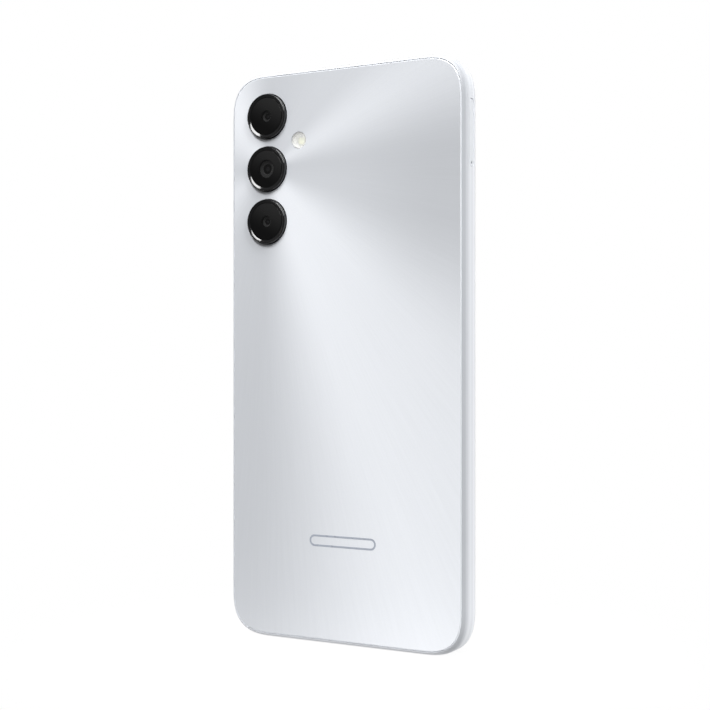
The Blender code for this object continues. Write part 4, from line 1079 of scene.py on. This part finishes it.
def make_lenses():
    """Behind each cover glass: a black collar, a grey holder and the front lens element."""
    for place in CAMERAS:
        centre = middle_of(f"camera_ring_{place}")
        lens_r, holder_r = LENS_SIZES[place]
        body = "focus_barrel" if place == "middle" else "phone"
        foot = 3.45 if place != "middle" else 3.35
        axis = (centre.x, centre.z)

        def collar(bm):
            profile = (
                (holder_r + 0.02, foot),
                (COLLAR_R, foot),
                (COLLAR_R, HOLDER_Y - 0.12),
                (COLLAR_R - 0.1, HOLDER_Y - 0.02),
                (holder_r + 0.02, HOLDER_Y - 0.02),
            )
            add_turned(bm, axis, profile, closed=True)

        def holder(bm):
            profile = (
                (lens_r, foot + 0.02),
                (holder_r, foot + 0.02),
                (holder_r, HOLDER_Y - 0.05),
                (holder_r - 0.05, HOLDER_Y),
                (lens_r + 0.12, HOLDER_Y),
                (lens_r, HOLDER_Y - 0.12),
            )
            add_turned(bm, axis, profile, closed=True)

        def element(bm):
            edge_y = HOLDER_Y - 0.14
            iris = 0.45 * lens_r
            rim_y = edge_y - 0.2
            profile = [(0, foot + 0.04), (lens_r - 0.01, foot + 0.04), (lens_r - 0.01, edge_y), (iris, rim_y)]
            for step in range(1, 8):
                share = 1 - step / 8
                profile.append((iris * share, rim_y + 0.12 * (1 - share**2)))
            profile.append((0, rim_y + 0.12))
            for face in add_turned(bm, axis, profile):
                reach = max(math.hypot(v.co.x - axis[0], v.co.z - axis[1]) for v in face.verts)
                face.material_index = 1 if reach < iris + 0.01 else 0

        add_piece(f"lens_collar_{place}", collar, [LOOKS["black_plastic"]], body)
        add_piece(f"lens_holder_{place}", holder, [LENS_HOLDER], body)
        add_piece(f"lens_element_{place}", element, [LENS_ELEMENT, LENS_DOME], body)


def make_flash():
    """The flash: a ribbed clear lens over a white reflector with a yellow emitter in its middle."""
    low, high = box_mm("flash_lens")
    centre = (middle_of("flash_lens").x, middle_of("flash_lens").z)
    lens_foot = high.y - 0.75

    def lens(bm):
        profile = [(0, lens_foot), (FLASH_R, lens_foot), (FLASH_R, high.y - 0.06), (FLASH_R - 0.1, high.y)]
        ribs = 5
        pitch = (FLASH_R - 0.35) / ribs
        for rib in range(ribs):
            outer = FLASH_R - 0.2 - rib * pitch
            profile.append((outer, high.y - 0.02))
            profile.append((outer - pitch * 0.12, high.y - 0.1))
        profile.append((0, high.y - 0.03))
        add_turned(bm, centre, profile)

    def cup(bm):
        profile = (
            (FLASH_R + 0.4, low.y),
            (FLASH_R + 0.4, low.y + 0.45),
            (FLASH_R, low.y + 0.45),
            (FLASH_R, lens_foot - 0.02),
            (FLASH_R - 0.15, lens_foot - 0.02),
            (1.35, low.y + 0.1),
            (1.35, low.y),
        )
        add_turned(bm, centre, profile, closed=True)

    led_low, led_high = box_mm("flash_led")

    def emitter(bm):
        add_box(bm, (led_low.x, led_high.x), (led_low.y, led_high.y - 0.15), (led_low.z, led_high.z), 0.3)
        half = 0.95
        add_box(
            bm,
            (centre[0] - half, centre[0] + half),
            (led_high.y - 0.14, led_high.y + 0.1),
            (centre[1] - half, centre[1] + half),
            0.25,
            material=1,
        )

    add_piece("flash_window", lens, [LOOKS["clear_lens"]], "phone", stands_for=["flash_lens"])
    add_piece("flash_cup", cup, [REFLECTOR], "phone")
    looks = [REFLECTOR, LOOKS["phosphor"]]
    add_piece("flash_emitter", emitter, looks, "phone", stands_for=["flash_led"])


# Keys, tray and sockets


def rounded_cap(low, high, x_levels, radius):
    """Loops of a key's cap along X; x_levels are (inset, x)."""
    loops = []
    for inset, x in x_levels:
        points = rounded_box(
            (low[0] + inset, low[1] + inset), (high[0] - inset, high[1] - inset), max(radius - inset, 0.05)
        )
        loops.append(on_axis(points, "X", x))
    return loops


def make_key(name, node, length, pocket=None):
    """A side key: the flange that holds it in, and a cap with softly rounded edges. pocket is (half height,
    half length, depth) of a recess in its top."""
    low, high = box_mm(node)
    z = (low.z + high.z) / 2
    top = high.x
    half_h, half_l = KEY_H / 2, length / 2
    cap_low, cap_high = (MID_Y - half_h, z - half_l), (MID_Y + half_h, z + half_l)
    flange_low, flange_high = (MID_Y - 1.5, z - half_l - 1), (MID_Y + 1.5, z + half_l + 1)

    def shape(bm):
        loops = rounded_cap(flange_low, flange_high, tuple(zip((0.1, 0.0, 0.0), FLANGE_X)), 0.4)
        soft = [(inset, top + y) for inset, y in quarter_round((0.0, -0.28), (0.28, 0.0), 6)]
        loops += rounded_cap(cap_low, cap_high, [(0.0, FLANGE_X[-1])] + soft, half_h * 0.98)
        if pocket:
            pocket_h, pocket_l, depth = pocket
            pocket_low, pocket_high = (MID_Y - pocket_h, z - pocket_l), (MID_Y + pocket_h, z + pocket_l)
            levels = ((-0.04, top), (0.0, top - 0.04), (0.0, top - depth))
            loops += rounded_cap(pocket_low, pocket_high, levels, pocket_h * 0.98)
        skin(bm, loops)

    add_piece(name, shape, [LOOKS["silver_frame"]], node, stands_for=[node])


def make_keys():
    make_key("power_button", "power_key", POWER_L, (0.7, 5.4, 0.5))
    make_key("volume_rocker", "volume_key", VOLUME_L)
    low, high = box_mm("fingerprint_sensor")

    def tile(bm):
        half_h = (high.y - low.y) / 2
        soft = quarter_round((0.0, -0.08), (0.12, 0.0), 5)
        levels = [(0.0, low.x)] + [(inset, high.x + x) for inset, x in soft]
        skin(bm, rounded_cap((low.y, low.z), (high.y, high.z), levels, half_h * 0.98))

    glass = [LOOKS["dark_glass"]]
    add_piece("fingerprint_tile", tile, glass, "power_key", stands_for=["fingerprint_sensor"])


def make_tray():
    """The SIM tray: a painted face with the eject hole, and a carrier with its card pockets."""
    low, high = box_mm("sim_tray")
    y, z = (low.y + high.y) / 2, (low.z + high.z) / 2
    half_h, half_l = (high.y - low.y) / 2, (high.z - low.z) / 2
    carrier_z = (low.z + 3.0, high.z - 0.8)
    carrier_y = (y - 0.65, y + 0.65)
    card_z = sum(carrier_z) / 2
    hole_z = low.z + 1.0

    def face(bm):
        soft = quarter_round((0.0, 0.12), (0.12, 0.0), 4)
        levels = [(0.0, TRAY_FACE_X)] + [(inset, low.x + x) for inset, x in soft]
        skin(bm, rounded_cap((y - half_h, z - half_l), (y + half_h, z + half_l), levels, half_h * 0.98))

    def eject_hole(bm):
        stations = (
            (0.6, low.x - 0.1),
            (0.52, low.x),
            (EJECT_HOLE_R, low.x + 0.08),
            (EJECT_HOLE_R, TRAY_FACE_X + 0.5),
        )
        skin(bm, [on_axis(circle((y, hole_z), radius, 32), "X", x) for radius, x in stations])

    def carrier(bm):
        add_box(bm, (TRAY_FACE_X + 0.01, high.x), carrier_y, carrier_z, 0.4)

    def pockets(bm):
        for x0, x1, width in TRAY_POCKETS:
            zs = (card_z - width / 2, card_z + width / 2)
            add_box(bm, (x0, x1), (carrier_y[1] - 0.8, carrier_y[1] + 1), zs, 0.4)

    def windows(bm):
        for x0, x1 in TRAY_WINDOWS:
            add_box(bm, (x0, x1), (carrier_y[0] - 1, carrier_y[1]), (card_z - 4.6, card_z + 4.6), 0.4)

    add_piece(
        "tray_face",
        face,
        [LOOKS["silver_frame"]],
        "sim_tray",
        stands_for=["sim_tray"],
        cuts=[eject_hole],
    )
    add_piece(
        "tray_carrier",
        carrier,
        [LOOKS["black_plastic"]],
        "sim_tray",
        cuts=[pockets, windows],
    )


def make_usb():
    """The USB socket: a drawn steel shell, and a black tongue with gold contacts on both sides."""
    low, high = box_mm("usb_port_shell")
    half_w, half_h = (high.x - low.x) / 2, (high.y - low.y) / 2
    wall = 0.3

    def shell(bm):
        levels = (
            (-0.06, low.z),
            (0.0, low.z + 0.1),
            (0.0, high.z),
            (-wall, high.z),
            (-wall, low.z + 0.25),
            (-wall + 0.12, low.z),
        )
        loops = [on_axis(slot_outline(0, MID_Y, half_w, half_h, grow), "Z", z) for grow, z in levels]
        skin(bm, loops, closed=True)

    tongue_low, tongue_high = box_mm("usb_port_tongue")

    def tongue(bm):
        block = rounded_box((-4.0, MID_Y - 1.15), (4.0, MID_Y + 1.15), 1.1)
        blade = rounded_box((-3.2, MID_Y - 0.35), (3.2, MID_Y + 0.35), 0.2)
        tip = rounded_box((-3.1, MID_Y - 0.25), (3.1, MID_Y + 0.25), 0.15)
        stations = (
            (tip, tongue_low.z),
            (blade, tongue_low.z + 0.15),
            (blade, 6.0),
            (block, 6.0),
            (block, tongue_high.z),
        )
        skin(bm, [on_axis(points, "Z", z) for points, z in stations])

    def contacts(bm):
        count, pitch = 12, 0.5
        for side in (-1, 1):
            ys = sorted((MID_Y + side * 0.34, MID_Y + side * 0.37))
            for index in range(count):
                x = (index - (count - 1) / 2) * pitch
                add_box(bm, (x - 0.12, x + 0.12), ys, (tongue_low.z + 0.5, 5.9))

    add_piece("usb_shell", shell, [LOOKS["steel"]], "phone", stands_for=["usb_port_shell"])
    plastic = [LOOKS["black_plastic"]]
    add_piece("usb_tongue", tongue, plastic, "phone", stands_for=["usb_port_tongue"])
    add_piece("usb_contacts", contacts, [CONTACT_GOLD], "phone")


def make_jack():
    """The headphone socket's barrel, with a gold contact ring a little way in."""
    low, high = box_mm("headphone_jack")
    centre = (JACK_X, MID_Y)
    bore, outer = 1.78, 2.45

    def barrel(bm):
        profile = (
            (outer - 0.12, low.z),
            (outer, low.z + 0.12),
            (outer, 3.4),
            (2.3, 3.4),
            (2.3, high.z),
            (bore, high.z),
            (bore, low.z + 0.2),
            (bore + 0.2, low.z),
        )
        add_turned(bm, centre, profile, "Z", closed=True)

    def contact(bm):
        profile = ((bore - 0.01, 2.2), (bore - 0.12, 2.3), (bore - 0.12, 3.0), (bore - 0.01, 3.1))
        add_turned(bm, centre, profile, "Z", closed=True)

    plastic = [LOOKS["black_plastic"]]
    add_piece("jack_barrel", barrel, plastic, "phone", stands_for=["headphone_jack"])
    add_piece("jack_contact", contact, [CONTACT_GOLD], "phone")


def make_speaker_screen():
    """The woven screen behind the loudspeaker's holes."""
    end = SPEAKER_X + (SPEAKER_HOLES - 1) * SPEAKER_PITCH

    def shape(bm):
        outline = rounded_box((SPEAKER_X - 1.2, MID_Y - 1.1), (end + 1.2, MID_Y + 1.1), 0.5)
        add_prism(bm, outline, "Z", (FRAME_WALL + 0.05, FRAME_WALL + 0.25))

    add_piece("speaker_screen", shape, [MESH_CLOTH], "phone")


# Studio

CAMERA_AT = Vector((-0.19574, 0.34357, BODY_H / 2 * MM))
CAMERA_DIRECTION = Vector((0.4910, -0.8711, 0.0))
CAMERA_LENS = 68.85
SENSOR = 36.0
TARGET = Vector((0.0, 0.0, BODY_H / 2 * MM))


def make_camera():
    camera = bpy.data.objects.new("camera", bpy.data.cameras.new("camera"))
    bpy.context.scene.collection.objects.link(camera)
    camera.location = CAMERA_AT
    camera.rotation_euler = CAMERA_DIRECTION.to_track_quat("-Z", "Y").to_euler()
    camera.data.lens = CAMERA_LENS
    camera.data.sensor_width = SENSOR
    camera.data.clip_start = 0.01
    camera.data.clip_end = 20.0
    bpy.context.scene.camera = camera


def softbox(
    name,
    direction,
    distance,
    size,
    radiance,
    along=(0.0, 0.0, 1.0),
    tint=(1.0, 1.0, 1.0),
    aim=TARGET,
    mirrored=True,
):
    """A rectangular lamp that faces a point from a direction; along is the way its longer side runs. One that
    isn't mirrored lights the phone without showing as a bright shape in its display."""
    lamp = bpy.data.objects.new(name, bpy.data.lights.new(name, "AREA"))
    bpy.context.scene.collection.objects.link(lamp)
    lamp.data.shape = "RECTANGLE"
    lamp.data.size, lamp.data.size_y = size
    lamp.data.energy = radiance * math.pi * size[0] * size[1]
    lamp.data.color = tint
    lamp.visible_glossy = mirrored
    back = Vector(direction).normalized()
    side = (Vector(along) - back * back.dot(Vector(along))).normalized()
    turn = Matrix((side, back.cross(side), back)).transposed()
    lamp.matrix_world = Matrix.Translation(aim + back * distance) @ turn.to_4x4()


def make_world():
    """A white surround for the eye, and for reflections a grey room with a bright far wall."""
    world = bpy.data.worlds.new("studio")
    bpy.context.scene.world = world
    world.use_nodes = True
    nodes, links = world.node_tree.nodes, world.node_tree.links
    nodes.clear()
    output = nodes.new("ShaderNodeOutputWorld")
    chooser = nodes.new("ShaderNodeMixShader")
    seen = nodes.new("ShaderNodeLightPath")
    white = nodes.new("ShaderNodeBackground")
    white.inputs["Color"].default_value = (1.0, 1.0, 1.0, 1.0)
    room = nodes.new("ShaderNodeBackground")
    direction = nodes.new("ShaderNodeTexCoord")
    parts = nodes.new("ShaderNodeSeparateXYZ")
    depth = nodes.new("ShaderNodeMapRange")
    for key, value in (("From Min", -0.9), ("From Max", 0.9), ("To Min", ROOM_FAR), ("To Max", ROOM_NEAR)):
        depth.inputs[key].default_value = value
    links.new(direction.outputs["Generated"], parts.inputs["Vector"])
    links.new(parts.outputs["Y"], depth.inputs["Value"])
    links.new(depth.outputs["Result"], room.inputs["Strength"])
    links.new(seen.outputs["Is Camera Ray"], chooser.inputs["Fac"])
    links.new(room.outputs["Background"], chooser.inputs[1])
    links.new(white.outputs["Background"], chooser.inputs[2])
    links.new(chooser.outputs["Shader"], output.inputs["Surface"])


def make_floor():
    """A pale floor round the phone's foot that fades out into the white surround."""
    look = Recipe("floor", (0.3, 0.3, 0.3), 0.9, glow=0.75)
    look.feed(look.shader.inputs["Emission Color"], (1.0, 1.0, 1.0, 1.0))
    look.colour(look.mix(look.noise(2.0), (0.29, 0.29, 0.29), (0.31, 0.31, 0.31)))
    reach = look.node("ShaderNodeVectorMath", {0: look.place}, operation="LENGTH").outputs["Value"]
    solid = look.spread(reach, 0.15 * FLOOR_R * MM, 0.95 * FLOOR_R * MM, 0.3, 0.0, smooth=True)
    look.feed(look.shader.inputs["Alpha"], solid)

    def shape(bm):
        skin(bm, [on_axis(circle((0, 0), FLOOR_R, 64), "Z", z) for z in (-6, -0.02)])

    floor = link("floor", mesh_from(shape, "floor"))
    floor.data.materials.append(look.material)


def make_studio():
    make_world()
    make_floor()
    cameras = middle_of("camera_ring_middle") * MM
    softbox("strip", (-0.04, 0.70, 0.71), 1.1, (0.9, 0.3), 16.2, along=(0.62, -0.26, 0.29), aim=cameras)
    softbox("key", (-0.50, 0.30, 0.81), 1.1, (1.2, 0.3), 8.0, along=(0.83, -0.26, 0.61), aim=cameras)
    softbox("side", (-0.92, -0.39, 0.1), 1.1, (0.6, 0.6), 6.0, mirrored=False)
    softbox("kicker", (0.81, 0.5, 0.3), 1.0, (0.14, 0.14), 6.0, tint=(1.0, 0.9, 0.8))
    softbox("edge", (0.87, -0.37, 0.32), 1.0, (0.6, 0.6), 4.6, tint=(1.0, 0.96, 0.92), mirrored=False)


def main():
    bpy.context.scene.view_settings.view_transform = "Standard"
    dress_frame_nodes()
    make_band()
    make_back_cover()
    make_mark()
    make_front_glass()
    make_front_camera_lens()
    make_rings()
    make_cover_glasses()
    make_lenses()
    make_flash()
    make_keys()
    make_tray()
    make_usb()
    make_jack()
    make_speaker_screen()
    make_studio()
    make_camera()


main()
